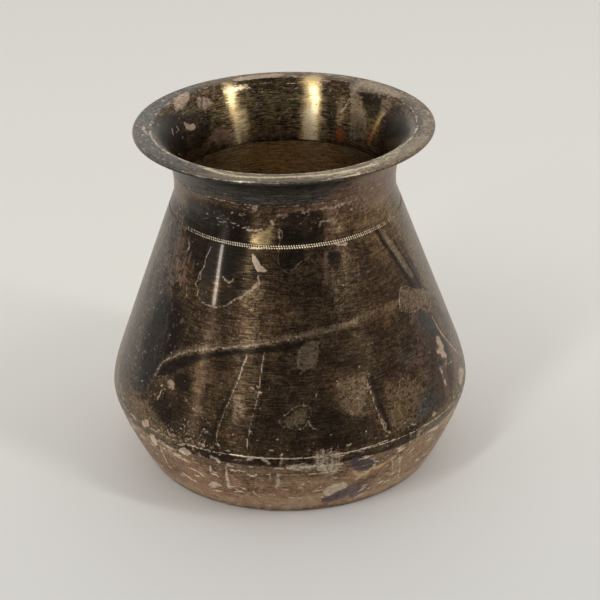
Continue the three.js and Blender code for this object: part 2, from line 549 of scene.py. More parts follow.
outsideStains = {
    # the clean patch below the milled band, with its pale edge
    "cleanPatch": patch("clean", 1.6, 1, (-38, 91), (-38.5, 86), (-40.5, 78), (-36, 72.6), (-28, 72.8),
        (-20, 76.6), (-13.5, 82), (-12.5, 91)),
    "cleanEdge": line("scale", 0.45, 0.45, 0.72, (-37.6, 89.5), (-38.6, 87.5), (-39.5, 85.5), (-39.5, 83),
        (-41.5, 80), (-41.5, 78), (-42.5, 77), (-40.5, 75.5), (-40, 73.5), (-37.5, 72.3), (-34, 71.6),
        (-31.5, 71.9), (-27.5, 72.3), (-24, 74), (-20, 76.3), (-17, 78), (-14.5, 79.8), (-12.5, 81.5),
        (-12.8, 83.2)),
    "cleanEdgeKnot": line("scale", 0.8, 0.45, 0.45, (-40.5, 81.5), (-40.5, 78.5)),
    "cleanEdgeThick": line("scale", 0.9, 0.7, 0.62, (-12.8, 82.8), (-12.2, 80.8), (-15.1, 78.9),
        (-19.7, 76.3), (-25.1, 73.9)),
    "wedge": patch("scale", 0.5, 1.3, (-16.3, 89.3), (-14.3, 88.5), (-11.5, 86.2), (-9, 85), (-10.8, 84.4),
        (-13.3, 84.6), (-15, 86.4)),
    "crescent": line("scale", 0.7, 0.45, 0.65, (-29, 81.4), (-27, 80.2), (-25, 80.3), (-23.8, 81.6)),
    "lineDown": line("scale", 0.45, 0.45, 0.4, (-41.2, 73), (-41.8, 66), (-42.4, 57)),
    "brownBelowPatch": patch("warm", 3, 0.3, (-40, 73), (-30, 71), (-22, 73), (-18, 66), (-22, 60),
        (-34, 58), (-42, 57)),
    # the left side
    "reddishBlot": line("warm", (0.8, 1.8, 2.2, 1.2), 1.4, 0.7, (-53.3, 82.8), (-51, 80.1), (-49.2, 76.6),
        (-48.4, 73)),
    "reddishEdge": line("scale", 0.5, 0.6, 0.6, (-49.6, 77.5), (-47.6, 76.7), (-47, 74.6), (-45.9, 72.9)),
    "reddishArms": line("warm", 1.6, 1.2, 0.75, (-66.6, 77.2), (-59.8, 78.8), (-55.3, 78.4), (-52, 80.5)),
    "reddishArmsLow": line("scale", 0.5, 0.8, 0.42, (-67.4, 76.8), (-61.7, 78.8), (-56.5, 79)),
    "leftLineInner": line("scale", 0.35, 0.5, 0.6, (-77.1, 90.6), (-69.4, 86.2), (-63.7, 81), (-58.9, 75.8),
        (-55.4, 71.1)),
    "leftLineOuter": line("hazeAndSheen", 1.0, 1.5, 0.9, (-80, 92), (-76, 82), (-73, 72), (-71, 62)),
    "leftPaleStrip": patch("hazeAndSheen", 2.5, 0.9, (-90.1, 80.9), (-77.2, 88.5), (-63.7, 78.7), (-72.7, 75.3),
        (-84.4, 74.4)),
    "leftKnot": line("scale", 1.0, 0.8, 0.6, (-52.8, 88.4), (-51.3, 87.1), (-51.6, 85.8)),
    # Pale haze over the left side towards its edge: painted reflection of the pale table and wall.
    "leftDustAndSheen": patch("hazeAndSheen", 6, 0.65, (-120, 98), (-84, 96), (-80, 74), (-68, 56), (-62, 44), (-70, 36),
        (-120, 36)),
    "frontLines": patch("lined", 8, 0.08, (-46, 90), (50, 90), (52, 60), (50, 34), (-40, 34), (-46, 60)),
    # Pale turned lines in the left lamp's reflection column: painted highlight.
    "columnLines": patch("lined", 6, 0.22, (-21, 88), (-6, 88), (-3, 62), (-7, 40), (-17, 40), (-22, 62)),
    # Pale bands along both edges of the body: painted reflection of the pale table and wall at the grazing
    # edges.
    "edgePaleLeft": patch("scale", 8, 0.32, (-125, 62), (-88, 60), (-82, 48), (-78, 36), (-74, 24),
        (-125, 22)),
    "edgeGlowLeft": line("scale", 4, 6, 0.4, (-68.5, 97.6), (-80, 78.8), (-84, 58.1), (-83.8, 41.5),
        (-76.3, 35.2)),
    "edgeGlowLow": line("scale", 4, 5, 0.5, (-81.6, 37.7), (-78.1, 34.3), (-73, 31.8), (-67.3, 29.5)),
    "edgeRim": line("scale", 2.5, 3, 0.6, (-79.6, 35.8), (-77.1, 31.8), (-73, 29.5)),
    "edgeGlowRight": line("scale", 4, 6, 0.42, (82.8, 94), (91.1, 78.1), (89.1, 63.3), (89.6, 44.9),
        (81.5, 35.1)),
    "edgePaleRight": patch("scale", 8, 0.26, (125, 60), (86, 58), (80, 44), (76, 30), (125, 24)),
    "leftFilm": patch("film", 6, 0.62, (-80, 98), (-62, 94), (-56, 78), (-52, 62), (-50, 50), (-58, 36),
        (-80, 34)),
    "rightShade": patch("sootAndShade", 5, 0.45, (67.1, 55.9), (74, 47.1), (73.3, 40.9), (68.4, 33.9), (58.8, 30.7),
        (48.3, 31.3), (42.4, 37), (48.5, 42.1), (57.3, 44.7), (63.2, 48.1)),
    "middleShade": patch("sootAndShade", 10, 0.3, (11.8, 90.6), (56.5, 81.1), (57.4, 65.7), (55.6, 49.5),
        (46, 36.4), (34, 32.3), (15.2, 35.2), (3.1, 45.7), (2.8, 67)),
    "leftMiddleShade": patch("sootAndShade", 6, 0.35, (-66.4, 63.2), (-39.8, 70.8), (-34.2, 57.8), (-32.8, 43.6),
        (-45.8, 40), (-57.6, 51.1)),
    "lowMiddleShade": patch("sootAndShade", 8, 0.32, (-31.7, 56.4), (3.9, 60.3), (41.8, 52.9), (37.9, 39.3),
        (32, 31.3), (2.6, 34), (-22.7, 35), (-28.9, 43.2)),
    "bellyRightShade": patch("sootAndShade", 4, 0.35, (37.3, 40.1), (46.7, 38.1), (58.1, 32.5), (55.4, 28),
        (46.2, 27.9), (36.4, 29.8)),
    "bowlRightShade": patch("sootAndShade", 4, 0.22, (35.5, 29.4), (48.8, 28.9), (62.8, 25.5), (65.1, 17.4),
        (62.4, 9.4), (59.8, 1.6), (40, 9.5), (32.8, 23.4)),
    "tideRightDark": patch("sootAndShade", 2.5, 0.5, (38, 74.5), (44.4, 73.6), (51.4, 71), (49.4, 67.6),
        (43.2, 68.7), (37, 69.3)),
    "rightPlum": patch("warm", 6, 0.35, (53.5, 57), (63, 49.9), (61.9, 36.4), (54.4, 29.2), (42.7, 33.6),
        (40.1, 43.4), (45, 53.2)),
    "lowLeftShade": patch("sootAndShade", 3.5, 0.35, (-48.4, 41.7), (-41.7, 45.1), (-34.6, 44.5), (-28.7, 42.6),
        (-25.3, 39.5), (-28.4, 35.8), (-36, 35.8), (-43, 37)),
    "leftSeamOuter": line("sootAndShade", 0.4, 0.5, 0.7, (-77.8, 83.4), (-75.9, 72.8), (-74.1, 67.4)),
    "leftSeam": line("rubAndShine", 0.35, 0.5, 0.55, (-77.6, 91.8), (-69.4, 84.5), (-63.4, 76.1)),
    "leftEdgeSheen": line("satinAndSheen", 3, 2.5, 0.55, (-74.3, 89.3), (-80.1, 73.5), (-78.8, 61)),
    "leftBlush": patch("warm", 5, 0.5, (-73.1, 88.6), (-56.1, 89.6), (-52.6, 72.5), (-51.1, 55),
        (-58.2, 37.3), (-67.4, 36.7), (-70, 53.2), (-73.6, 69.4)),
    "leftDark": patch("sootAndShade", 6, 1.0, (-60, 70), (-46, 68), (-44, 56), (-52, 44), (-60, 40), (-66, 54)),
    # the tide mark that crosses the front, dark below its left end and broad on the right
    "tideMark": line("scale", (0.7, 0.9, 0.8, 0.6), 0.7, 0.55, (-52.5, 44.5), (-51.5, 47), (-50.2, 49.5),
        (-46, 52.6), (-40.6, 55.6), (-34, 57.8), (-28, 59.4), (-18.3, 61.3), (-6.4, 63.3), (4, 64.7)),
    "tideMarkHaze": line("hazeAndSheen", 2.2, 1.6, 0.85, (-52.5, 44.5), (-50, 50), (-40.6, 56), (-28, 59.8),
        (-6.4, 63.8), (12, 65.8), (26, 67)),
    "tideMarkAbove": line("scale", 0.35, 0.5, 0.4, (-49, 51.5), (-42, 56.4), (-34, 59.2), (-24, 61.4)),
    "tideMarkBroad": line("brown", (1.2, 4.2), 1.6, 0.45, (4, 64.4), (20, 66.4), (31.5, 67.4), (42, 67.3),
        (52, 66.8)),
    "tideMarkPale": line("hazeAndSheen", (1, 3.4), 1.6, 0.42, (10, 65.6), (20, 66.8), (31.5, 68.2), (42, 68.2),
        (50, 67.6)),
    "tideShade": patch("sootAndShade", 0.9, 0.85, (-53, 46), (-49, 49.5), (-42, 53.6), (-34, 56.6), (-20, 60.3),
        (-6, 62.2), (6, 63.2), (4, 61.5), (-20, 58.4), (-30, 55.9), (-37, 52.8), (-43, 49), (-50, 44.4)),
    "tideShadeAbove": line("sootAndShade", 0.9, 0.45, 0.6, (-44, 55.4), (-34, 58.8), (-24, 61), (-12, 63.2)),
    "lobedPatch": patch("brown", 0.8, 0.4, (52, 70.8), (56, 70.7), (60, 68.8), (64, 66.7), (69, 65.4),
        (72, 61.6), (70, 59.3), (66, 58.9), (61, 61.8), (56, 62.4), (51, 64.1), (49, 66)),
    "lobedFill": patch("hazeAndSheen", 1, 0.65, (52, 70.5), (60, 68.5), (69, 65), (70, 59.8), (61, 62.3),
        (51, 64.6)),
    "lobedEdge": ring("scale", 0.4, 0.45, 0.75, (52, 70.8), (56, 70.7), (60, 68.8), (64, 66.7), (69, 65.4),
        (72, 61.6), (70, 59.3), (66, 58.9), (61, 61.8), (56, 62.4), (51, 64.1), (49, 66)),
    # slanting marks at the upper right
    "slantDark": line("sootAndShade", 1.9, 0.7, 0.85, (48.5, 91), (51.8, 85.7), (55.4, 79.8), (58.7, 73.8),
        (61, 69.5)),
    "slantDarkRight": line("sootAndShade", 0.9, 0.7, 0.9, (58.4, 85.3), (61.7, 79.6), (65, 72.8), (67.7, 66.2)),
    "slantFilm": line("film", 3, 3, 0.2, (49.5, 87.9), (54.9, 79.2), (60.6, 69.4)),
    "slantRub": line("hazeAndSheen", 2.6, 1.6, 1.0, (52.3, 88.5), (56, 83.6), (59.4, 78.3), (62.9, 72.8)),
    "slantFlecks": line("scale", 0.7, 0.9, 0.36, (53.3, 87.6), (56.2, 82.9), (58.6, 78.5), (61.1, 75.1)),
    "upperRightBrown": patch("brown", 4, 0.2, (30, 90), (47, 91), (54, 78), (58, 71), (48, 69), (30, 71),
        (26, 80)),
    "frontRightShade": patch("sootAndShade", 6, 0.35, (22, 84), (44, 86), (52, 74), (46, 70), (20, 68)),
    "frontRightShadeLow": patch("sootAndShade", 6, 0.35, (14, 62), (48, 64), (52, 50), (34, 48), (30, 44),
        (12, 46)),
    # stains high on the front
    "darkOval": patch("sootAndShade", 1.4, 0.8, (18.8, 88.5), (22.5, 89.5), (25.5, 88), (25, 85.3), (22.3, 83.6),
        (19.3, 84.8)),
    "darkOvalHalo": ring("hazeAndSheen", 1.4, 1, 0.35, (18.3, 89), (22.5, 90.3), (26.3, 88.3), (25.8, 84.8),
        (22.3, 82.8), (18.5, 84.4)),
    "ovalTick": line("scale", 0.9, 0.45, 0.7, (24, 91.2), (27, 90.6), (29.5, 90.8)),
    "ovalTail": line("scale", 0.35, 0.45, 0.6, (21, 82.7), (23, 82.9), (24.5, 83.8)),
    "frontStripeA": line("warm", 1.8, 1.6, 0.7, (17.9, 89.5), (17.3, 85.3), (16.5, 79.9)),
    "frontStripeB": line("hazeAndSheen", 3.4, 3, 0.3, (28.1, 88.2), (26.3, 82.3), (23.6, 75.3), (21.7, 70.7)),
    "frontStripeC": line("hazeAndSheen", 2.4, 2.4, 0.6, (20.4, 83.7), (20.5, 77.6), (20.5, 71.5)),
    "frontStripeD": line("warm", 1.6, 2, 0.55, (34, 89.1), (33.2, 84.3), (31.8, 78.9)),
    # A faint brass column: painted reflection of the right lamp.
    "oliveColumn": line("brass", 4, 3, 0.12, (23, 84), (22, 77), (21.5, 70)),
    "darkUnderBand": patch("sootAndShade", 2, 0.6, (-3, 91), (6.5, 91), (8.5, 88), (6, 87), (2, 85.4), (-1.5, 84.8),
        (-3.8, 87)),
    "darkUnderBandEdge": line("scale", 0.4, 0.45, 0.6, (-3.4, 97.5), (-3.2, 94), (-4, 90.5), (-3.8, 87),
        (-1.5, 84.6), (2, 84.9), (5.9, 87.2), (8, 88), (10.4, 88.8)),
    "ringCurl": ring("scale", 0.4, 0.45, 0.7, (-4, 97.5), (-2.3, 97), (-2, 95), (-3.6, 94.5)),
    # A brass streak down the front: painted reflection of the left lamp, with a pale painted sheen round it.
    "goldStreakLow": line("brass", (3.2, 2.4, 1.6), 3, 0.24, (-11.3, 79.6), (-12.4, 75.9), (-12.8, 69.8),
        (-14.3, 63.7)),
    "goldStreakSheen": line("hazeAndSheen", 5, 4, 0.3, (-13.4, 78.9), (-13.8, 72.8), (-14, 65.2), (-14.2, 57.6)),
    "streakShade": line("sootAndShade", 6, 3, 0.4, (-32.2, 74.4), (-31.7, 64.5), (-31.2, 53.7), (-31.1, 42.8)),
    "pinkStreakLow": line("warm", 1.4, 1, 0.5, (-6.6, 77), (-7, 70), (-7.2, 64.5)),
    "pinkStreakPale": line("scale", 0.6, 0.45, 0.25, (-7, 73), (-7.2, 65)),
    # stains low on the front
    "ovalUpper": patch("film", 0.8, 0.35, (3.3, 59.5), (5, 62.4), (8.5, 63.1), (10.3, 60.5), (9.3, 56.5),
        (6.5, 54.6), (4.4, 55.5)),
    "ovalUpperFill": patch("hazeAndSheen", 1, 0.85, (3.4, 58.5), (5.1, 62), (8.5, 62.7), (10.7, 61.9), (10.3, 58.3),
        (8.2, 55.4), (5, 54.7)),
    "ovalUpperRim": line("hazeAndSheen", 1.4, 1, 1.0, (10.3, 62.3), (8.1, 62.7), (5.4, 61.7), (3.4, 58.8),
        (3.3, 56), (5, 54.7)),
    "ovalUpperEdge": ring("scale", 0.4, 0.6, 0.42, (3, 58.5), (5.1, 62.3), (8.5, 63.2), (11.2, 61.9),
        (10.4, 58), (8.1, 54.8), (4.6, 54.5)),
    "ovalLowerFill": patch("satinAndSheen", 1.2, 0.22, (-3.2, 39.5), (-0.3, 41.9), (2.7, 43.6), (5.9, 43.4),
        (5.7, 40), (3.7, 37.7), (-0.4, 37.3)),
    "ovalLowerHaze": patch("hazeAndSheen", 1.2, 0.8, (-2.6, 39.4), (0, 41.6), (2.6, 43), (5.2, 42.8), (5.1, 40.4),
        (3.4, 38.1), (-0.4, 37.6)),
    "ovalLowerEdge": ring("scale", 0.5, 0.5, 0.55, (-3.8, 39.1), (-0.6, 42.2), (2.4, 43.9), (5.6, 43.9),
        (6.5, 41.8), (5.4, 39.5), (3.3, 36.8), (-0.4, 37.3)),
    "ovalLowerTail": line("scale", 0.6, 0.45, 0.65, (5.3, 39.2), (6.5, 37.2), (8.6, 36)),
    "dripLeft": line("scale", (0.8, 0.45, 0.45, 0.5), 0.45, 0.68, (-15.5, 58.6), (-16.8, 55.5), (-18, 51.4),
        (-19.4, 47.6), (-20.6, 44.3), (-22, 40.5), (-22.9, 37.3), (-23.7, 33.5), (-23.5, 31), (-22, 28.8)),
    "dripLeftShade": line("sootAndShade", 1.1, 0.45, 0.6, (-19.2, 51.4), (-21.8, 44.3), (-24.2, 37.3), (-25, 31)),
    "dripRight": line("scale", (0.5, 0.35, 0.4), 0.45, 0.72, (-9.2, 60), (-10.2, 53), (-10.7, 48),
        (-12, 42.2), (-13.3, 35.6), (-13.9, 29.6)),
    "dripRightShade": line("sootAndShade", 0.9, 0.45, 0.6, (-8.2, 57), (-9.3, 48), (-10.8, 41), (-12.4, 33)),
    "dripTick": line("scale", 0.4, 0.45, 0.95, (-14, 49.1), (-12.3, 49), (-10.2, 49)),
    "dripTickLow": line("scale", 0.4, 0.45, 0.9, (-11.6, 48), (-10.5, 47.8), (-9.5, 47.7)),
    "dripTickLowest": line("scale", 0.4, 0.45, 0.6, (-12.2, 46.2), (-11.1, 44.7), (-12, 42.8)),
    "pinkPatch": patch("warm", 1, 0.25, (-20, 46), (-15, 46.5), (-14.7, 39), (-19, 38)),
    "pinkPatchPale": patch("hazeAndSheen", 1.2, 0.6, (-19.5, 45.5), (-15.5, 46), (-15.2, 40), (-19, 39)),
    "leftHole": patch("sootAndShade", 1.6, 0.75, (-43, 48), (-37, 49), (-35.5, 45), (-38.5, 43), (-42, 43.5)),
    "leftHoleDot": patch("scale", 0.6, 0.6, (-45.8, 45.4), (-43, 45.6), (-42, 43.4), (-44.5, 42.6)),
    "leftHoleTail": line("scale", 0.6, 0.8, 0.55, (-38, 42.5), (-33, 39.5), (-28, 37), (-25, 35)),
    "leftHook": line("scale", 0.6, 0.45, 0.8, (-47.5, 41.5), (-48, 39.5), (-48.6, 37.8)),
    "frontDark": patch("sootAndShade", 6, 0.35, (-8, 58), (2, 56), (6, 50), (10, 44), (14, 36), (8, 30), (-10, 30),
        (-13, 36), (-9, 46)),
    "frontDarkRight": patch("sootAndShade", 4, 0.42, (8, 44), (16, 42), (26, 36), (28, 30), (10, 29)),
    "meridianDark": line("sootAndShade", 1.8, 0.8, 0.8, (28.7, 49), (29.4, 44), (30.5, 38), (31.8, 31.5)),
    "meridianEdge": line("scale", 0.5, 0.45, 0.68, (26.8, 49), (27.6, 44), (28.8, 37.5), (30.2, 31.2)),
    "meridianCurl": line("scale", 0.7, 0.6, 0.62, (29.4, 35.7), (30.9, 33.6), (30.5, 31.7), (32.2, 30.2)),
    "brownRight": patch("brown", 2.5, 0.35, (33.5, 46), (42, 46), (48, 41), (47, 31), (43, 29), (34, 32)),
    "brownMiddle": patch("brown", 2.5, 0.45, (15, 50), (20, 52.5), (27, 49), (27, 40), (20, 37.5),
        (14.5, 41)),
    "flecksMiddle": patch("hazeAndSheen", 2, 0.6, (15.8, 50), (19.2, 51), (26.9, 49.8), (26.4, 44.3), (23.3, 39.4),
        (19, 39), (16.3, 43.8)),
    "flecksRight": patch("hazeAndSheen", 2.5, 0.5, (32.8, 44.6), (38.6, 44.2), (49.5, 39.7), (49.3, 34.3),
        (43.9, 28.9), (32.8, 31.7), (32.8, 38.9)),
    "brownLeft": patch("brown", 3, 0.25, (-34, 54), (-24, 56), (-20, 50), (-24, 42), (-31, 38), (-36, 44)),
    "leftLowDark": patch("sootAndShade", 4, 0.5, (-46, 42), (-36, 42), (-27, 36), (-22, 30), (-40, 30), (-50, 34)),
    "upperLeftDark": patch("sootAndShade", 4, 0.85, (-58, 103), (-20, 103), (-20, 92.6), (-24, 84), (-30, 80),
        (-44, 80), (-56, 90)),
    "upperRightPale": patch("brown", 4, 0.5, (40, 100), (62, 100), (66, 80), (56, 74), (44, 80)),
    "footBand": line("brown", 7, 8, 0.9, *allRound(4)),
    "footPale": line("scale", 1, 1.6, 0.42, *allRound(1.6)),
    "blueRight": patch("film", 4, 0.9, (58.7, 61.2), (66.6, 57.5), (69.4, 50), (65.3, 50.3), (58.8, 55.1)),
    "blueRightDark": patch("sootAndShade", 5, 0.55, (57.5, 61.7), (68.7, 55.3), (73.3, 40.9), (68.7, 32.9),
        (55.2, 31.7), (52.3, 40.6), (55, 49.7)),
    "redRight": patch("warm", 5, 0.5, (54, 66), (66, 62), (78, 52), (76, 32), (58, 30), (50, 42)),
    "pinkTrail": patch("scale", 0.8, 0.8, (65.2, 50.2), (67.5, 49.4), (67.9, 47.4), (68.8, 45.6),
        (67.2, 44.5), (68.5, 42.5), (67.2, 41.7), (64.2, 43.2), (64.1, 44.5), (61.9, 45.6), (62.6, 46.7),
        (64.8, 46.8), (64.2, 48.7)),
    "pinkTrailMiddle": ring("scale", (0.7, 0.4, 0.9, 0.5, 0.6, 0.4), 0.6, 0.5, (61.7, 43.8), (64.1, 43.2),
        (66.9, 41.4), (65.4, 40.4), (62.3, 40.9), (60.7, 42.5)),
    "pinkTrailTail": line("scale", 0.8, 0.6, 0.6, (64.7, 40.7), (67.7, 39.6), (70.4, 38.9)),
    "pinkTrailLow": line("scale", (1.0, 1.8, 0.8), 0.9, 0.7, (60.7, 41.1), (61.1, 39.5), (60.7, 38)),
    "pinkTrailDrop": line("scale", (1.8, 1.2), 0.9, 0.7, (60.9, 36.7), (61, 35)),
    "pinkTrailHole": patch("sootAndShade", 0.8, 1.2, (61.2, 43.3), (63.3, 42.7), (64.6, 41.6), (62.7, 41.5),
        (60.9, 42.4)),
    "pinkTrailWarm": line("warm", 5, 2, 0.9, (65.7, 48.7), (65.2, 43.3), (62.3, 39), (60.7, 33.3)),
    "longScratch": line("scale", (0.6, 0.9, 0.7), 0.7, 0.85, (67.7, 56.4), (69.7, 50.2), (74.3, 43.4),
        (80.1, 35.9)),
    "edgeSpot": patch("scale", 0.8, 0.8, (74.5, 34.4), (79.7, 31.2), (76.1, 29.7), (71.7, 29.5),
        (70.8, 31.8)),
    # Pale haze over the right side and its edge: painted reflection of the pale table and wall.
    "rightEdgeSheen": patch("hazeAndSheen", 5, 0.85, (120, 98), (62, 98), (68, 80), (76, 66), (82, 50), (120, 44)),
    "edgePale": patch("hazeAndSheen", 3, 1.0, (65.3, 95.2), (76.9, 89.9), (80.5, 81.7), (81, 70.6), (81.4, 59.3),
        (72.3, 61.6), (68.9, 72.8), (65.2, 83.7), (61.9, 90.7)),
    "tealRight": patch("film", 5, 0.5, (41.3, 54.4), (48.4, 53.4), (49.3, 48.4), (42.6, 47.5)),
    "tealRightLow": patch("film", 5, 0.7, (46.9, 38.7), (55, 36.7), (57.9, 31.9), (48.8, 28.9),
        (41.7, 31.2)),
    # between and below the two belly lines
    "bellyNet": patch("net", 3, 0.52, (-47, 27), (-42, 33), (-36, 37), (-28, 36), (-23, 31), (-25, 26),
        (-36, 23)),
    "bellyNetLow": patch("net", 4, 0.42, (-60, 22), (-48, 27), (-36, 24), (-24, 25), (-23, 17), (-36, 15),
        (-52, 16)),
    "lowSpotA": patch("scale", 0.5, 0.85, (-54.2, 28.5), (-51, 29.6), (-50.4, 28), (-53.7, 26.5)),
    "lowSpotB": patch("scale", 0.5, 0.85, (-50.3, 25.3), (-47.9, 24.8), (-48.9, 20.4), (-51.2, 20.9)),
    "lowSpotC": line("scale", 1.01, 0.7, 0.72, (-47.5, 23.3), (-43.7, 23.3), (-40.8, 22.9)),
    "lowSpotC2": line("scale", 1.17, 0.7, 0.72, (-43.1, 21.4), (-40.5, 21.2), (-38.9, 21)),
    "lowSpotD": patch("scale", 0.5, 0.85, (-37.4, 24.8), (-34.5, 25.5), (-32.9, 23.9), (-35.6, 22.4),
        (-37.4, 23)),
    "lowSpotD2": line("scale", 1.09, 0.7, 0.72, (-38.3, 20.4), (-36.9, 19.6), (-35.4, 19.2)),
    "lowSpotE": line("scale", 0.86, 0.7, 0.72, (-47.1, 19.9), (-47.4, 16.5), (-48, 12.8)),
    "lowSpotF": line("scale", 1.4, 0.7, 0.72, (-40.8, 11.4), (-38.3, 10.1), (-36.1, 9)),
    "lowSpotG": line("scale", 1.33, 0.7, 0.72, (-34.9, 16.1), (-32.7, 15.5), (-31.2, 14)),
    "lowSpotH": line("scale", 1.33, 0.7, 0.72, (-27.1, 16.5), (-25.6, 16.5), (-25.1, 15.6)),
    "lowSpotI": line("scale", 0.86, 0.7, 0.72, (-26.8, 20.5), (-27.2, 17.9)),
    "lowSpotK": line("scale", 1.48, 0.7, 0.72, (-25.6, 25), (-23.9, 24.5), (-23.1, 23.4)),
    "lowSpotL": line("scale", 1.01, 0.7, 0.72, (-19.9, 20.5), (-17.2, 20.6), (-15.3, 20.7)),
    "lowSpotM": line("scale", 1.25, 0.7, 0.72, (-14.2, 19.2), (-12.6, 18.9), (-11.5, 19.6)),
    "lowSpotN": line("scale", 0.94, 0.7, 0.55, (-17.6, 25.5), (-15.7, 25.8)),
    "lowSpotO": line("scale", 1.48, 0.7, 0.72, (-9.4, 27.3), (-7.9, 26.3), (-7.1, 25.1)),
    "lowSpotP": line("scale", 0.86, 0.7, 0.55, (-7.1, 20.9), (-7.4, 17.7)),
    "lowSpotQ": line("scale", 1.01, 0.7, 0.5, (-3.3, 27.9), (-3.5, 25.6), (-4.1, 22.9)),
    "lowBloom": patch("scale", 1.5, 0.6, (-30.2, 11.3), (-26.5, 13.1), (-24.8, 11), (-27.7, 9),
        (-30.3, 8.7)),
    "lowStroke": line("scale", 2.2, 1.6, 0.5, (-4.8, 20.6), (-4.7, 17.1), (-5.2, 14)),
    "bellyDarkLeft": patch("sootAndShade", 1.5, 0.45, (-38, 27), (-20, 27.5), (-6, 27), (-6, 21.5), (-20, 21.5),
        (-36, 23)),
    "bowlDark": patch("sootAndShade", 4, 0.42, (-40, 25), (-20, 27), (0, 26.6), (22, 27), (40, 26), (36, 17.5),
        (0, 17.5), (-20, 18), (-36, 19)),
    "lowPink": patch("warm", 5, 0.45, (-58, 20), (-20, 21), (-18, 8), (-40, 4), (-62, 8)),
    # A dark line round the foot's bottom edge: painted shade where the pot meets the table.
    "footEdgeShade": line("sootAndShade", 1.3, 1, 0.55, (-180, 1.2), (-90, 1.2), (0, 1.2), (90, 1.2), (180, 1.2)),
    "bowlDarkAll": line("sootAndShade", 4, 6, 0.25, *allRound(23)),
    "bowlWarm": patch("warm", 4, 0.35, (-26, 15), (0, 17), (14, 16), (12, 4), (-24, 4)),
    "footLine": line("scale", 0.8, 0.8, 0.5, *allRound(0.7), waver=0.3),
    "sideLightLeft": patch("hazeAndSheen", 5, 0.85, (-120, 52), (-76, 48), (-66, 38), (-50, 34), (-42, 30),
        (-42, 24), (-120, 22)),
    "sideLightRight": patch("hazeAndSheen", 5, 0.75, (48, 30), (64, 33), (76, 46), (120, 50), (120, 22), (48, 22)),
    "bellyStroke": line("scale", (0.7, 1.3, 0.9, 0.3), 0.7, 0.75, (-21.1, 21.6), (-21.6, 17.7),
        (-21.9, 13.9), (-22.4, 10.9), (-20.2, 11.9), (-17.4, 13.2)),
    "chalkPatch": patch("scale", 2.4, 0.5, (6.4, 29.4), (10.4, 29.8), (15, 28), (15.6, 21.1), (13.6, 18.1),
        (7.3, 20.8)),
    "chalkStrokeF": line("scale", 0.55, 0.6, 0.8, (6.6, 24.1), (11, 23), (15.8, 22.9)),
    "chalkStrokeE": line("scale", 0.55, 0.6, 0.8, (6, 27.5), (10.3, 26.8), (15.3, 26.5)),
    "chalkStrokeD": line("scale", 0.55, 0.6, 0.8, (14.1, 28.2), (14.4, 24.6), (14.4, 20.4)),
    "chalkStrokeC": line("scale", 0.55, 0.6, 0.8, (11.9, 28.9), (12.2, 24.6), (12.2, 20)),
    "chalkStrokeB": line("scale", 0.55, 0.6, 0.8, (9.6, 29.5), (9.4, 25.5), (10, 20.8)),
    "chalkStrokeA": line("scale", 0.55, 0.6, 0.8, (7.8, 29.4), (7.5, 26.2), (7.9, 22.1)),
    "chalkPatchLeft": patch("scale", 1.6, 0.6, (-1.6, 24.7), (6, 24.7), (6.1, 21.4), (-1.3, 22.4)),
    "purplePatch": patch("film", 1.2, 1, (18.3, 24.5), (23, 23.5), (28, 20.8), (26.4, 18.1), (22.9, 17.4),
        (19.5, 19.5)),
    "purplePatchDark": patch("sootAndShade", 1.5, 0.6, (18.3, 24.5), (23, 23.5), (28, 20.8), (26.4, 18.1),
        (22.9, 17.4), (19.5, 19.5)),
    "branch": line("brass", (0.9, 1.6, 1.8, 1.1, 1.5, 0.6), 0.8, 1, (19.8, 18.2), (22.3, 15.7),
        (24.8, 15.4), (26.3, 17.4), (29.6, 17.1), (33.1, 19.1)),
    "branchEdge": line("scale", 0.4, 0.5, 0.6, (19.9, 18.4), (22.3, 16), (24.7, 16), (26.1, 18),
        (29.5, 17.5), (32.9, 19.4)),
    "branchFork": line("brass", (1.4, 0.8), 0.8, 0.95, (21.4, 13.8), (23.2, 15.2)),
    "branchWarm": line("warm", 3.4, 1.2, 0.6, (19, 18.5), (24, 15), (28.5, 17.7), (34, 18.6)),
    "slabPale": patch("scale", 0.9, 0.66, (10.2, 11.1), (13.4, 13.6), (17.9, 13.5), (18.8, 10.6),
        (15.4, 8.9), (11.7, 7)),
    "slabPurple": patch("film", 1.2, 1, (10.2, 7.3), (14.1, 8.1), (18.8, 10.6), (20, 6), (14.9, 4),
        (11, 3.4)),
    "slabGrey": patch("film", 1.2, 0.8, (18.8, 10.6), (24.2, 11.6), (28.4, 8.3), (25.2, 4.6), (20.9, 3.9)),
    "sideScratchA": line("scale", 0.6, 0.45, 0.8, (36.6, 19.4), (39.5, 12.7), (42.1, 5.4)),
    "sideScratchB": line("scale", 0.6, 0.45, 0.7, (33.7, 19.3), (36.5, 12.2)),
    "lowHook": line("scale", 0.8, 0.45, 0.7, (-13.5, 11), (-12.8, 8.6), (-10.2, 7.4)),
    "lowDash": line("scale", 0.6, 0.45, 0.7, (-8.5, 5.4), (-4, 5), (-0.5, 5.4)),
    "lowDashRight": line("scale", 1, 0.45, 0.8, (-1.4, 8), (2.6, 7.8)),
    "lowPaleRight": patch("brown", 4, 0.45, (34, 24), (52, 25), (66, 26), (66, 12), (48, 8), (36, 10)),
    "lowerScratches": line("scale", 2, 1.8, 0.42, (40, 26), (52, 23.5), (62, 23)),
    # the neck and the shoulder above the milled band
    "neckBlue": patch("film", 0.9, 0.85, (-70, 117.6), (26, 117.6), (24, 112), (18, 106.2), (0, 105.9),
        (-30, 105.9), (-70, 105.9)),
    "neckBlueDark": patch("sootAndShade", 4, 0.5, (-48, 117), (22, 117), (16, 106.5), (-50, 106.5)),
    "neckPurpleRight": patch("warm", 3, 0.6, (22, 117.6), (84, 117.6), (84, 100), (20, 104)),
    "neckLilacLeft": patch("warm", 4, 0.45, (-84, 118), (-44, 118), (-40, 106), (-48, 100), (-84, 104)),
    # Pale haze at the left side of the neck: painted reflection of the pale surroundings.
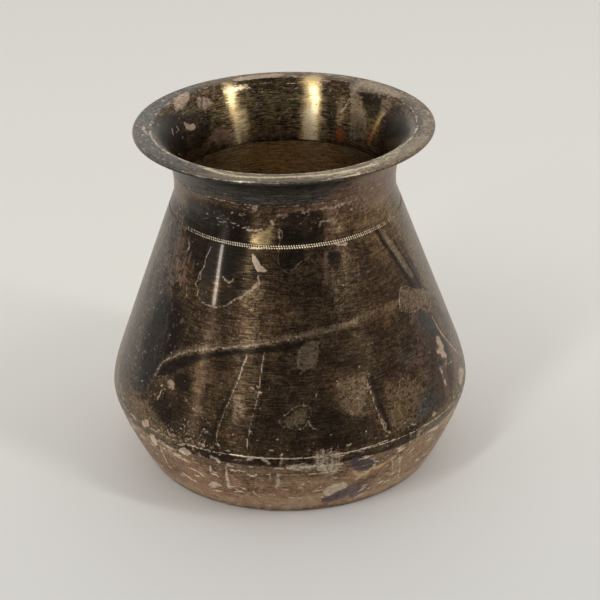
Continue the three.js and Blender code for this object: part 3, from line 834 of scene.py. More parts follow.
    "neckPaleLeft": patch("hazeAndSheen", 5, 1.3, (-90, 118), (-46, 118), (-42, 106), (-50, 98), (-90, 100)),
    "neckSheenLeft": patch("film", 2.5, 0.7, (-64.3, 99.4), (-47.8, 102), (-33.2, 101.3), (-32.2, 96.7),
        (-42.8, 94.4), (-54.9, 94.1), (-64.2, 95.3)),
    "neckLight": patch("brown", 2, 0.3, (-48, 105.4), (46, 105.4), (46, 97), (20, 95), (-20, 95),
        (-48, 97)),
    # A pale band round the front of the neck: painted sheen.
    "neckSheenBand": line("satinAndSheen", 6, 3, 0.36, (-58, 110.5), (-20, 111), (20, 111), (56, 110.5)),
    "neckLines": line("lined", 9, 3, 0.3, (-180, 109.5), (-90, 109.5), (0, 109.5), (90, 109.5),
        (180, 109.5)),
    # Pale haze at the right side of the neck: painted reflection of the pale surroundings.
    "neckPaleRight": patch("hazeAndSheen", 5, 0.95, (38, 118), (90, 118), (90, 100), (52, 98), (36, 105)),
    "neckLilacRight": patch("warm", 4, 0.6, (38, 118), (84, 118), (84, 102), (50, 98), (34, 104)),
    "neckStep": patch("warm", 0.9, 0.6, (14, 107.4), (30.5, 107), (31, 103.5), (26.5, 102.5), (25.5, 98.5),
        (20, 98), (21, 101.5), (19, 103.5), (14, 104)),
    "neckStepEdge": line("scale", 1.1, 0.8, 0.62, (16, 103.6), (20.1, 103.7), (24.4, 103), (27.7, 103.8),
        (31.7, 103.7)),
    "neckStepSide": line("scale", 0.7, 0.6, 0.55, (30.5, 103.5), (27.2, 102.6), (25.5, 100), (22.2, 98.7),
        (18, 99.2), (16.3, 97)),
    "neckFlecks": line("scale", 0.9, 0.8, 0.5, (2.1, 103.5), (7, 104), (10.9, 103), (14.9, 103.7)),
    "neckDots": patch("scale", 0.8, 0.6, (-16.9, 105.1), (-14.3, 105.8), (-13.2, 105.2), (-14.6, 103.2),
        (-16.6, 103.5)),
    "neckDotsLow": line("scale", 1.1, 0.8, 0.55, (-4.8, 102.1), (-2.3, 102.6), (0.6, 102.3)),
    "neckPinks": line("warm", 3.2, 2, 0.42, (-24, 104.5), (-12, 103.6), (0, 104.3), (10, 103.5)),
    "neckPinkLeft": patch("warm", 4, 0.5, (-92.4, 95.5), (-43.7, 103.9), (-33, 103.1), (-37.8, 97.2),
        (-56.4, 96.4), (-89.9, 92.6)),
    "neckPinkLow": patch("warm", 1.6, 0.45, (-8, 103), (2, 102.5), (4, 98.5), (-6, 98)),
    "neckThread": line("scale", 0.42, 0.45, 0.95, (-28.8, 98.4), (-24.4, 97.6), (-20.1, 96.9), (-16, 96.7),
        (-12.9, 97.1), (-10.9, 96.3)),
    # A brass patch on the shoulder: painted reflection of the left lamp.
    "goldShoulder": patch("brass", 2.6, 0.66, (-6.9, 100), (-6.2, 96.6), (-7.4, 92.6), (-10.6, 91.7),
        (-15.5, 91.7), (-17.2, 93.7), (-14.4, 96.3), (-10.4, 97.5)),
    "goldShoulderDot": line("scale", 1.0, 0.45, 0.9, (-7.1, 100), (-6.4, 99.3)),
    "darkShoulder": patch("sootAndShade", 2.5, 0.7, (0, 103), (18, 102), (17, 93), (-2, 93)),
    "leftOlive": patch("brass", 2, 0.12, (-70, 96), (-46, 97), (-44, 93), (-64, 90)),
    # Pale edges of the turned lines all round, with brighter painted highlights on them at the front.
    "upperLineEdge": line("rubAndShine", 0.45, 0.5, 0.62, *allRound(27.35), waver=0.2),
    "lowerLineEdge": line("rubAndShine", 0.4, 0.5, 0.55, *allRound(19.95), waver=0.2),
    "upperLineBright": line("rubAndShine", (0.4, 0.45, 0.35), 0.45, 0.95, (-19, 27.5), (-14.3, 27.3), (-5, 27.3),
        (6, 27.2), waver=0.2),
    "upperLineBrightRight": line("rubAndShine", 0.35, 0.45, 0.85, (16.9, 27.3), (25, 27.8), (31, 28.2), waver=0.2),
    "neckLineEdge": line("rubAndShine", 0.3, 0.5, 0.55, *allRound(105.65), waver=0.1),
    "neckLineFront": line("rubAndShine", 0.3, 0.5, 0.3, (-34, 105.65), (-16, 105.65), (4, 105.65), (26, 105.65),
        waver=0.1),
    # the side away from the camera
    "backTide": line("scale", (0.4, 0.8, 0.5), 0.45, 0.62, (106, 50), (116, 55), (130, 58), (150, 60.5),
        (172, 62), (196, 64), (214, 66.5), (232, 66)),
    "backTideShade": line("sootAndShade", (1, 2.4, 1.2), 1, 0.6, (108, 49.5), (118, 53.8), (134, 56.8), (156, 59.2),
        (180, 60.8), (204, 63)),
    "backTideBroad": line("hazeAndSheen", (1, 3.4, 2.4), 1.4, 0.8, (180, 63.5), (200, 65.4), (220, 67.4),
        (236, 66.4)),
    "backDripA": line("scale", 0.5, 0.45, 0.8, (128, 57), (127, 49), (124, 40), (124.6, 31)),
    "backDripB": line("scale", 0.5, 0.45, 0.7, (171, 88), (170, 78), (171.6, 70), (170, 62)),
    "backDripC": line("scale", 0.6, 0.45, 0.8, (214, 60), (215, 51), (217.5, 43), (216.5, 34)),
    "backOval": ring("scale", 0.45, 0.45, 0.65, (150, 47), (155, 49.5), (159, 46), (156.5, 41.5),
        (151, 42)),
    "backOvalFill": patch("scale", 0.8, 0.42, (150, 47), (155, 49.5), (159, 46), (156.5, 41.5), (151, 42)),
    "backOvalHigh": patch("sootAndShade", 0.8, 1, (196, 84), (201, 86.5), (205, 83), (202, 78), (197, 79)),
    "backOvalHighEdge": ring("scale", 0.4, 0.45, 0.55, (196, 84), (201, 86.5), (205, 83), (202, 78),
        (197, 79)),
    "backBrownA": patch("brown", 5, 0.8, (106, 84), (124, 88), (140, 80), (136, 68), (116, 66)),
    "backBrownB": patch("brown", 4, 0.9, (180, 48), (200, 50), (208, 40), (196, 32), (178, 36)),
    "backBrownC": patch("brown", 5, 0.8, (232, 88), (250, 84), (256, 72), (242, 66), (228, 76)),
    "backFilmA": patch("film", 8, 0.35, (98, 74), (112, 70), (110, 44), (96, 40)),
    "backFilmB": patch("film", 9, 0.4, (176, 96), (210, 96), (206, 68), (184, 70)),
    "backFilmNeck": patch("film", 2.5, 0.8, (120, 118), (236, 118), (230, 107), (126, 107)),
    "backWarm": patch("warm", 4, 0.45, (216, 84), (228, 82), (232, 66), (220, 64)),
    "backNet": patch("net", 4, 0.5, (140, 30), (170, 34), (196, 30), (190, 18), (150, 16)),
    "backChalk": patch("scale", 2.4, 0.55, (226, 29), (238, 29.5), (240, 20), (228, 18)),
}

mouthStains = {
    "rimPatchLeft": patch("scale", 1.2, 0.66, (-119.7, 21.4), (-125, 23.5), (-130.7, 24.6), (-134.1, 23.9),
        (-132.2, 21.3), (-128.4, 19.6), (-123.4, 18.3), (-118.5, 18.6), (-117.9, 19.9)),
    "rimPatchSecond": patch("scale", 1.2, 0.52, (-135.1, 20.1), (-138.9, 19.8), (-142, 18.2), (-141.8, 16),
        (-137.9, 15), (-134.1, 15.4), (-132.4, 17.1)),
    "rimPatchHaze": patch("hazeAndSheen", 2, 0.7, (-106.1, 25.7), (-117.8, 26.5), (-126.3, 25.5), (-132.3, 25.3),
        (-121.3, 20.8), (-113.9, 24)),
    "rimArcLeft": line("scale", 0.8, 0.45, 0.75, (-89.8, 24.9), (-85.8, 24.6), (-82.3, 24.1),
        (-79.8, 23.4)),
    "rimGreenLeft": patch("film", 2, 1.0, (-140, 28.5), (-84, 28.5), (-40, 28.5), (-30, 25), (-60, 23),
        (-112, 22), (-138, 23)),
    "rimCrazed": patch("scale", 1.6, 0.35, (52, 28), (74, 28.6), (90, 28), (92, 24.5), (80, 23), (62, 23),
        (50, 24)),
    "rimPatchRight": patch("scale", 1.6, 0.52, (145.8, 20.5), (145.2, 21.9), (143.5, 25), (139.3, 26.2),
        (132.8, 26.2), (123.6, 25), (119.4, 24.7), (117.5, 22.6), (123.9, 21.8), (130.2, 21.2),
        (134.9, 20.8), (140.5, 20.1), (143.9, 19.2)),
    "rimPatchRightUnder": patch("satinAndSheen", 1.5, 0.9, (145.7, 19.3), (146.2, 23.2), (140.8, 27.8),
        (122.1, 25.8), (117, 23.2), (126, 21.2), (135.7, 20.2)),
    "rimBackStrip": patch("scale", 0.9, 0.75, (-157.3, 24.9), (-161.8, 26), (-167.3, 26.5), (-174, 26.4),
        (-178.7, 26.7), (-181.2, 25), (-178.1, 22.9), (-170.7, 22.4), (-163.2, 22.3), (-158.6, 22.7)),
    "rimBackPale": line("scale", 2.6, 2, 0.4, (118, 25.2), (140, 26.2), (160, 26.8), (180, 26.8),
        (200, 26.8), (222, 26.2), (240, 25.2)),
    "rimBackInnerLeft": line("scale", 2.6, 2, 0.36, (214, 21), (230, 21.2), (244, 21.4)),
    "rimBackInner": line("scale", 2.6, 2, 0.36, (116, 21.4), (130, 21.2), (146, 21)),
    "rimBackBlots": line("scale", 1.8, 1.4, 0.5, (177.9, 24.5), (173.8, 22.9), (169.4, 23.7), (163.3, 21.9),
        (157.3, 21.6)),
    "rimBackDark": patch("sootAndShade", 1.2, 0.9, (-178, 24.8), (-166, 25.2), (-160, 23), (-176, 21)),
    "greyDrip": patch("satinAndSheen", 1.4, 0.5, (145.5, 19), (144.8, 20.6), (141.3, 19.6), (136.9, 16.6),
        (132.2, 13.4), (129.1, 10.8), (129, 8), (126.4, 6.7), (126.7, 4.5), (134.5, 3.5), (140.9, 3),
        (141.2, 7.1), (142.6, 12.5)),
    "greyDripHaze": patch("hazeAndSheen", 1.6, 0.6, (145.5, 19), (144.8, 20.6), (141.3, 19.6), (136.9, 16.6),
        (132.2, 13.4), (129.1, 10.8), (129, 8), (126.4, 6.7), (126.7, 4.5), (134.5, 3.5), (140.9, 3),
        (141.2, 7.1), (142.6, 12.5)),
    "greyDripEdge": line("scale", 0.5, 0.8, 0.42, (145.1, 18.6), (143.5, 14.5), (142.3, 9.8), (141.3, 4.2)),
    "whiteNick": line("scale", (0.4, 0.6, 1.1, 0.8), 0.6, 0.8, (144.5, 16.9), (145, 14.7), (146.3, 12.6),
        (148.1, 11.3)),
    "mouthDarkRight": patch("sootAndShade", 2, 1, (141.4, 18.8), (134, 19.7), (127.6, 19.5), (123, 17.4),
        (123.2, 14.1), (128.1, 11.7), (133.2, 14), (137.4, 16.5)),
    "mouthGoldRight": line("brass", 2.2, 2.4, 0.75, (125.7, 3.9), (123.4, 7.9), (121.4, 11.9),
        (119.8, 15.1)),
    # An orange streak low on the right of the mouth: painted highlight.
    "mouthOrangeRight": line("copperAndShine", (2.6, 1.6, 0.8), 1.5, 0.72, (125.7, 4.3), (124, 7.1), (122, 10.2)),
    "mouthOliveRight": patch("hazeAndSheen", 2.4, 0.85, (125.3, 20), (120.4, 20.5), (116.3, 19), (117.9, 15.9),
        (120.1, 13.6), (124.5, 16.3)),
    "mouthDarkFarRight": patch("sootAndShade", 2.5, 0.65, (115.5, 18.4), (106.1, 19.5), (91.6, 20.5), (80.9, 20.9),
        (81.9, 16.8), (100.5, 10.2), (111.6, 9), (116.3, 13.7)),
    "mouthScaleRight": patch("hazeAndSheen", 2, 0.9, (107.1, 8.6), (94.5, 13), (68.6, 19.8), (87.8, 11),
        (105.4, 6.9)),
    "mouthFarRightHaze": patch("hazeAndSheen", 2, 0.7, (112.3, 21.1), (99.1, 21.6), (84.5, 22.3), (70.5, 22.6),
        (86.3, 18.3), (98.7, 19.3)),
    "mouthRightBrown": patch("warm", 3, 0.35, (119.7, 16.7), (104.6, 20), (88.9, 21.2), (72.7, 22.1),
        (83.5, 13.8), (112.2, 8.2)),
    "mouthLeftBrown": patch("hazeAndSheen", 3, 0.35, (-87.8, 22.5), (-101.9, 21.1), (-109.2, 17.6), (-99.9, 12.5),
        (-112.4, 4.9), (-53.8, 21.2), (-66.3, 22.8)),
    "mouthDarkLeft": patch("sootAndShade", 2.5, 1.1, (-82, 21), (-106, 20), (-124, 16), (-138, 14), (-134, 6),
        (-118, 4), (-96, 8)),
    "mouthLines": line("lined", 24, 2, 0.18, (-180, 9), (-120, 9), (-60, 9), (0, 9), (60, 9), (120, 9),
        (180, 9)),
    "mouthSpotLeft": patch("scale", 0.5, 1, (-118.8, 14.3), (-120.9, 13.2), (-125.8, 11.6), (-125.2, 10.3),
        (-119.9, 11.1), (-118.5, 12.7)),
    "mouthSpotLeftSmall": line("scale", 0.8, 0.45, 0.7, (-105.9, 15.2), (-104.5, 14.3), (-104, 13.3)),
    "mouthSpotLeftThird": line("scale", 0.9, 0.45, 0.6, (-111.4, 14.5), (-111.8, 13.1)),
    "mouthNavyLeft": patch("film", 2.5, 0.55, (-111.7, 19.8), (-122.1, 19.2), (-129.5, 17.6),
        (-134.2, 14.5), (-134.1, 11), (-129.5, 11.1), (-122, 15), (-112.8, 17)),
    "mouthPink": patch("warm", 1.2, 1, (-133, 4), (-139, 7.5), (-149, 7), (-150, 3.2), (-141, 1.8)),
    "mouthPinkPale": patch("hazeAndSheen", 1.6, 0.8, (-134, 3.8), (-139, 6.8), (-148, 6.4), (-148, 4), (-141, 2.4)),
    "mouthRed": patch("copperAndShine", 2, 0.8, (150.3, 4.6), (147.2, 5.6), (144.2, 4.9), (144.6, 2.4),
        (146.9, 0.4), (149.4, 1.4)),
    "mouthDimBack": patch("sootAndShade", 4, 0.35, (-168, 18), (178, 18), (176, 8), (-166, 7)),
    "mouthDimRight": patch("sootAndShade", 2, 0.7, (157, 17), (150, 17), (150, 6), (155, 5)),
    "mouthBrassBack": line("brass", 19, 5, 0.28, (-128, 8), (-150, 9), (-180, 9), (-210, 9), (-232, 8)),
    # Brass columns up the back wall of the mouth: painted reflections of the two lamps.
    "mouthShineLeft": line("brass", 4.5, 4, 0.7, (-153.4, 0.5), (-153.7, 6), (-153.7, 12), (-153.4, 17),
        (-154, 21.5)),
    "mouthShineRight": line("brass", 7, 4, 0.95, (165.6, 0), (165.1, 7), (165.2, 14), (166, 21.5)),
    # Pale, lined feet of those columns: painted highlight.
    "mouthGlowRight": line("lined", 8, 5, 1.5, (165.7, 0.5), (165.4, 5.6), (165.1, 9.8)),
    "mouthLowShineRight": line("rubAndShine", 5, 4, 0.9, (165.7, 0.5), (165.4, 5.6), (165.1, 9.8)),
    "mouthGlowLeft": line("rubAndShine", 3, 3, 0.6, (-153.4, 1), (-153.6, 5)),
    "mouthWarmLeft": patch("warm", 4, 0.5, (-96, 20), (-118, 19), (-134, 15), (-136, 7), (-120, 4),
        (-100, 8)),
    "mouthFloorPink": line("warm", 3, 2, 0.7, (-150, 1.8), (-170, 2.6), (176, 2.2), (160, 1.6)),
    "rimWear": line("brass", 6, 2, 0.1, *allRound(26)),
    "rimWearPale": line("hazeAndSheen", 5, 2, 0.85, (38, 26.4), (90, 26.4), (130, 26.4), (180, 26.4), (230, 26.4),
        (262, 26.4), (300, 26.4)),
    "rimSatin": line("satinAndSheen", 9, 1.5, 0.3, *allRound(26.6)),
    "rimSatinFront": line("satinAndSheen", 9, 2, 0.8, (-110, 26.6), (-70, 26.6), (-30, 26.6), (0, 26.6), (30, 26.6),
        (66, 26.6)),
    # Pale lines and a patch along the front of the rim: painted highlights on the lip and the land.
    "rimFrontBright": line("rubAndShine", 1.6, 1.5, 0.75, (-33.8, 23.4), (-20.5, 25.4), (-8.7, 25.2), (5.8, 24.8),
        (21.5, 25.5), (38.6, 25.6)),
    "rimFrontInner": line("rubAndShine", 0.5, 0.8, 0.85, (-84, 22.9), (-50, 22.7), (-20, 22.6), (20, 22.6),
        (50, 22.7), (84, 22.9)),
    "rimFrontRight": patch("rubAndShine", 1.6, 0.45, (8.5, 21.2), (22.7, 23.3), (37.9, 23.4), (80.5, 12.6),
        (52.8, 25.1), (37.9, 27.2), (22, 28.3), (8.6, 26.5)),
    "rimFrontOuter": line("rubAndShine", 0.4, 0.6, 0.6, (-40, 28.9), (-10, 28.8), (20, 28.8), (50, 28.9)),
    # Wide pale strokes at the tops of the columns: painted highlights.
    "topHighlightLeft": patch("rubAndShine", 2.2, 0.85, (-149.7, 19.6), (-151.3, 20.5), (-156.5, 20.5), (-162.9, 20.2),
        (-163.7, 19.3), (-161.9, 18.6), (-156.7, 18.4), (-151.3, 18.4)),
    "topHighlightLeftLow": line("rubAndShine", 0.9, 0.8, 0.6, (-149.8, 15.1), (-151.5, 15), (-153.7, 15)),
    "topHighlightRight": patch("rubAndShine", 2.2, 0.42, (170.7, 19.1), (165.2, 19.9), (158.8, 20), (157.8, 18.5),
        (161.7, 17.7), (161.9, 16.3), (164.9, 15.2), (169.1, 15.1), (170.3, 17)),
    # A thin pale line round the back of the mouth near its top: painted reflection.
    "neckTopGlint": line("rubAndShine", 0.28, 0.4, 0.75, (-150.7, 21.2), (-157.7, 20.9), (-165.5, 20.4),
        (-176.5, 20), (-188.5, 19.8), (-197.3, 19.9), (-203.3, 19.9), waver=0.15),
    # Marks that shape the painted highlight columns: warm and dark bands dim parts of them, and a brass and
    # a pale patch brighten the foot of the left one.
    "columnBand": patch("warm", 2, 0.55, (171.5, 12.4), (165.7, 13.1), (159.2, 13.1), (158.1, 10.1),
        (165.4, 10), (171.4, 9.3)),
    "columnBandDark": patch("sootAndShade", 3, 0.55, (172.1, 14.3), (157.4, 15.2), (157.1, 10.5), (171.9, 9.6)),
    "columnTopShade": patch("sootAndShade", 2, 0.75, (171.5, 19.5), (158.8, 20.1), (157.5, 15.5), (171.1, 14.9)),
    "columnLowGold": patch("brass", 3, 0.75, (-152.6, 11.9), (-160.5, 11.4), (-160.1, 1.9), (-152.9, 1.9)),
    "columnLowGlow": patch("rubAndShine", 3, 0.5, (-153.1, 9.4), (-159.4, 9.1), (-159.6, 2.3), (-153.6, 2.6)),
    "leftColumnDark": patch("sootAndShade", 3, 0.42, (-150.1, 18.4), (-163.6, 17.5), (-162.8, 11.9), (-157.6, 11),
        (-149.9, 12.6)),
    "mouthScratch": line("scale", 0.35, 0.5, 0.7, (-177.6, 7.4), (-181.6, 10), (-184.8, 11.7)),
    "mouthFleck": line("scale", 0.6, 0.6, 0.65, (178.9, 13.6), (176.3, 14.2), (172.1, 14.3)),
    "innerEdge": line("rubAndShine", 0.5, 0.5, 0.6, (0, 22.6), (90, 22.6), (180, 22.6), (270, 22.6), (360, 22.6)),
}


stepsPerSpan = 8


# A smooth curve through given points: a Catmull-Rom spline
def curveThrough(points, closed):
    p = np.array(points, float)
    if closed:
        ring = np.concatenate([p[-1:], p, p[:2]])
    else:
        ring = np.concatenate([2 * p[:1] - p[1:2], p, 2 * p[-1:] - p[-2:-1]])
    t = np.linspace(0, 1, stepsPerSpan, endpoint=False)[:, None, None]
    a, b, c, d = ring[:-3], ring[1:-2], ring[2:-1], ring[3:]
    curve = b + 0.5 * ((c - a) * t + (2 * a - 5 * b + 4 * c - d) * t ** 2 + (3 * b - a - 3 * c + d) * t ** 3)
    curve = curve.transpose(1, 0, 2).reshape(-1, 2)
    end = curve[:1] if closed else p[-1:]
    return np.concatenate([curve, end])


def turnOf(angle):
    return (angle + 180) % 360 - 180


tiny = 1e-9                   # keeps a length that is divided by from being 0


# Distance over the metal from each point to a curve, in millimetres, and the nearest stretch of it.
# Angles count as arcs at the point's own radius. A closed curve gives less than 0 inside.
def distanceTo(curve, angle, along, radius, closed):
    middle = curve[:, 0].mean()
    a, s = turnOf(angle - middle)[:, None], along[:, None]
    start, end = curve[:-1], curve[1:]
    arcLength = np.radians(radius)[:, None]
    u, v = (a - (start[:, 0] - middle)) * arcLength, s - start[:, 1]
    du, dv = (end[:, 0] - start[:, 0]) * arcLength, end[:, 1] - start[:, 1]
    t = np.clip((u * du + v * dv) / (du ** 2 + dv ** 2 + tiny), 0, 1)
    distance = np.hypot(u - t * du, v - t * dv)
    nearest = distance.argmin(axis=1)
    distance = distance.min(axis=1)
    if closed:
        crosses = (start[:, 1] > s) != (end[:, 1] > s)
        rise = np.where(abs(dv) < tiny, tiny, dv)
        edge = start[:, 0] - middle + (s - start[:, 1]) / rise * (end[:, 0] - start[:, 0])
        inside = (crosses & (a < edge)).sum(axis=1) % 2 == 1
        distance = np.where(inside, -distance, distance)
    return distance, nearest / max(1, len(start) - 1)


# Small waves that keep a drawn edge from being smooth
waverWaves = [(0.13, 0.7, 1.3, 0), (0.1, 1.9, -1.1, 1), (0.05, -2.7, 4.3, 0)]
slimmest = 35                 # a radius about the pot's smallest, for the widest reach in degrees
allowance = 0.5               # more than an edge can tremble


# Stains of one kind don't add up: the strongest counts. `along` is the distance up the metal, and
# `place` turns a stain's height into it.
def layStains(grid, rows, marks, along, painted, place):
    angle, radius = grid["angle"][rows], grid["radius"][rows]
    wave = waves(np.radians(angle) * radius, along, waverWaves)
    for mark in marks:
        curve = curveThrough([(a, place(h)) for a, h in mark["points"]], mark["shape"] != "line")
        width = np.atleast_1d(mark["width"])
        margin = mark["soft"] + width.max() / 2
        low, high = curve.min(axis=0), curve.max(axis=0)
        spread = (high[0] - low[0]) / 2 + np.degrees(margin / slimmest)
        near = (abs(turnOf(angle - (low[0] + high[0]) / 2)) < spread) | (spread > 179)
        near &= (along > low[1] - margin - allowance) & (along < high[1] + margin + allowance)
        if not near.any():
            continue
        wavy = (along + wave * mark["waver"])[near]
        distance, share = distanceTo(curve, angle[near], wavy, radius[near], mark["shape"] == "patch")
        half = np.interp(share, np.linspace(0, 1, len(width)), width) / 2
        amount = np.clip(0.5 + (half - distance) / mark["soft"], 0, 1)
        layer = painted[mark["kind"]][rows]
        layer[near] = np.maximum(layer[near], amount * mark["strength"])


aboveBody = outline["collar"][:, 1] > outline["body"][-1, 1]
outsideLine = joined(outline["body"], outline["collar"][aboveBody])
outsideLength = lengthsOf(outsideLine)


def lengthAt(height):
    return np.interp(height, outsideLine[:, 1], outsideLength)


# Loose marks of scale, more of them low on the pot: short lines, most of them lying along the turning.
# Each range is drawn from evenly; a lean of a quarter turn stands the marks upright.
scatterSetting = {
    "seed": 7,
    "radius": 55,
    "groups": {
        "low": {"count": 420, "heights": (3, 30), "length": (0.4, 3.6), "width": (0.5, 1.5),
                "strength": (0.5, 1.0)},
        "belly": {"count": 240, "heights": (22, 34), "length": (0.3, 1.6), "width": (0.4, 0.9),
                  "strength": (0.5, 0.9)},
        "high": {"count": 520, "heights": (34, 116), "length": (0.1, 1.1), "width": (0.35, 0.7),
                 "strength": (0.4, 0.8)},
        "leftDustAndSheen": {"count": 420, "angles": (-100, -46), "heights": (38, 76), "length": (0.1, 0.8),
                     "width": (0.35, 0.8), "strength": (0.45, 0.95)},
        "backDust": {"count": 240, "angles": (100, 190), "heights": (36, 80), "length": (0.1, 0.8),
                     "width": (0.35, 0.8), "strength": (0.4, 0.9)},
        "middleFlecks": {"count": 90, "angles": (14, 28), "heights": (38, 52), "length": (0.4, 1.8),
                         "width": (0.25, 0.5), "strength": (0.35, 0.75)},
        "rightFlecks": {"count": 90, "angles": (33, 50), "heights": (31, 47), "length": (0.4, 1.6),
                        "width": (0.25, 0.5), "strength": (0.35, 0.7)},
        "columnFlecks": {"count": 110, "angles": (-21, -4), "heights": (62, 84), "length": (0.8, 4),
                         "width": (0.2, 0.35), "strength": (0.25, 0.5)},
        "neckFlecks": {"count": 170, "angles": (-50, 50), "heights": (96, 105.6), "length": (0.3, 2.6),
                       "width": (0.3, 0.7), "strength": (0.4, 0.8)},
        "throatFlecks": {"count": 80, "angles": (-60, 60), "heights": (106.3, 115),
                         "length": (0.2, 1.6), "width": (0.25, 0.5), "strength": (0.3, 0.7)},
        "leftStreaks": {"count": 110, "kind": "satinAndSheen", "lean": pi / 2, "angles": (-98, -52),
                        "heights": (40, 90), "length": (1.5, 8), "width": (0.4, 1.1),
                        "strength": (0.4, 0.9)},
        "leftPink": {"count": 70, "kind": "warm", "lean": pi / 2, "angles": (-84, -44),
                     "heights": (42, 92), "length": (0.5, 3.5), "width": (0.8, 2.2),
                     "strength": (0.7, 1.1)},
        "upright": {"count": 60, "lean": pi / 2, "heights": (20, 48), "length": (1.2, 3.6),
                    "width": (0.4, 0.7), "strength": (0.4, 0.7)},
    },
}

mouthScatter = {
    "seed": 11,
    "radius": 42,
    "groups": {
        "wallFlecks": {"count": 240, "angles": (95, 265), "heights": (1, 21), "length": (0.1, 2.4),
                       "width": (0.3, 0.7), "strength": (0.35, 0.8)},
        "wallDark": {"count": 380, "kind": "sootAndShade", "angles": (95, 265), "heights": (1, 21),
                     "length": (0.5, 4), "width": (0.3, 1), "strength": (0.5, 1)},
        "landFlecks": {"count": 420, "heights": (22, 29), "length": (0.1, 1.6), "width": (0.4, 0.9),
                       "strength": (0.5, 1)},
        "landDark": {"count": 380, "kind": "sootAndShade", "heights": (22, 29), "length": (0.4, 2.5),
                     "width": (0.4, 1.1), "strength": (0.5, 1)},
    },
}

tiltSpread = 0.3
markTaper = (0.5, 1, 0.4)     # a mark's width at its start, middle and end
markSoft = 0.45
markWaver = 0.5


def scattered(s):
    chance = np.random.default_rng(s["seed"])
    marks = []
    for g in s["groups"].values():
        for _ in range(g["count"]):
            angle, height = chance.uniform(*g.get("angles", (0, 360))), chance.uniform(*g["heights"])
            length, tilt = chance.uniform(*g["length"]), chance.normal(0, tiltSpread) + g.get("lean", 0)
            across, up = np.degrees(length * cos(tilt) / s["radius"]), length * sin(tilt)
            width = chance.uniform(*g["width"])
            width = tuple(width * share for share in markTaper)
            strength = chance.uniform(*g["strength"])
            ends = (angle, height), (angle + across, height + up)
            kind = g.get("kind", "scale")
            marks.append(line(kind, width, markSoft, strength, *ends, waver=markWaver))
    return marks


outsideMarks = [*outsideStains.values(), *scattered(scatterSetting)]
mouthMarks = [*mouthStains.values(), *scattered(mouthScatter)]

cavityLook = {"brass": 0.5, "hazeAndSheen": 0.8, "lined": 1.6}
# the bead crowns are painted pale, partly as worn metal and partly as a painted highlight, brightest at the
# front and the back
crownWearAndGlint = {"gain": 1.3, "even": 0.6, "turned": 0.4, "scaleKept": 0.5, "pale": 0.85}


def layAll(grid):
    painted = {kind: np.zeros(grid["angle"].shape) for kind in stainKinds}
    rows = grid["outside"]
    layStains(grid, rows, outsideMarks, lengthAt(grid["height"][rows]), painted, lengthAt)
    if "inside" in grid:
        inner = grid["inside"]
        profile = np.column_stack([grid["radius"][inner][:, 0], grid["height"][inner][:, 0]])
        reach = np.repeat(lengthsOf(profile[::-1])[::-1][:, None], grid["angle"].shape[1], axis=1)
        layStains(grid, inner, mouthMarks, reach, painted, float)
    if "cavity" in grid:
        for kind, amount in cavityLook.items():
            painted[kind][grid["cavity"]] = amount
    if "crown" in grid:
        crownLook = crownWearAndGlint
        # The crowns' share below is their wear and their painted highlight together.
        worn = np.clip(grid["crown"] * crownLook["gain"], 0, 1)
        worn = worn * (crownLook["even"] + crownLook["turned"] * np.cos(np.radians(2 * grid["angle"])))
        painted["rubAndShine"] = np.maximum(painted["rubAndShine"], worn)
        painted["scale"] = np.maximum(painted["scale"] * crownLook["scaleKept"], worn * crownLook["pale"])
    for kind, values in painted.items():
        store(grid, kind, values)


for grid in (collar, throatSeam, wall, milled, bellySeam, bowl):
    layAll(grid)
print("stains laid")


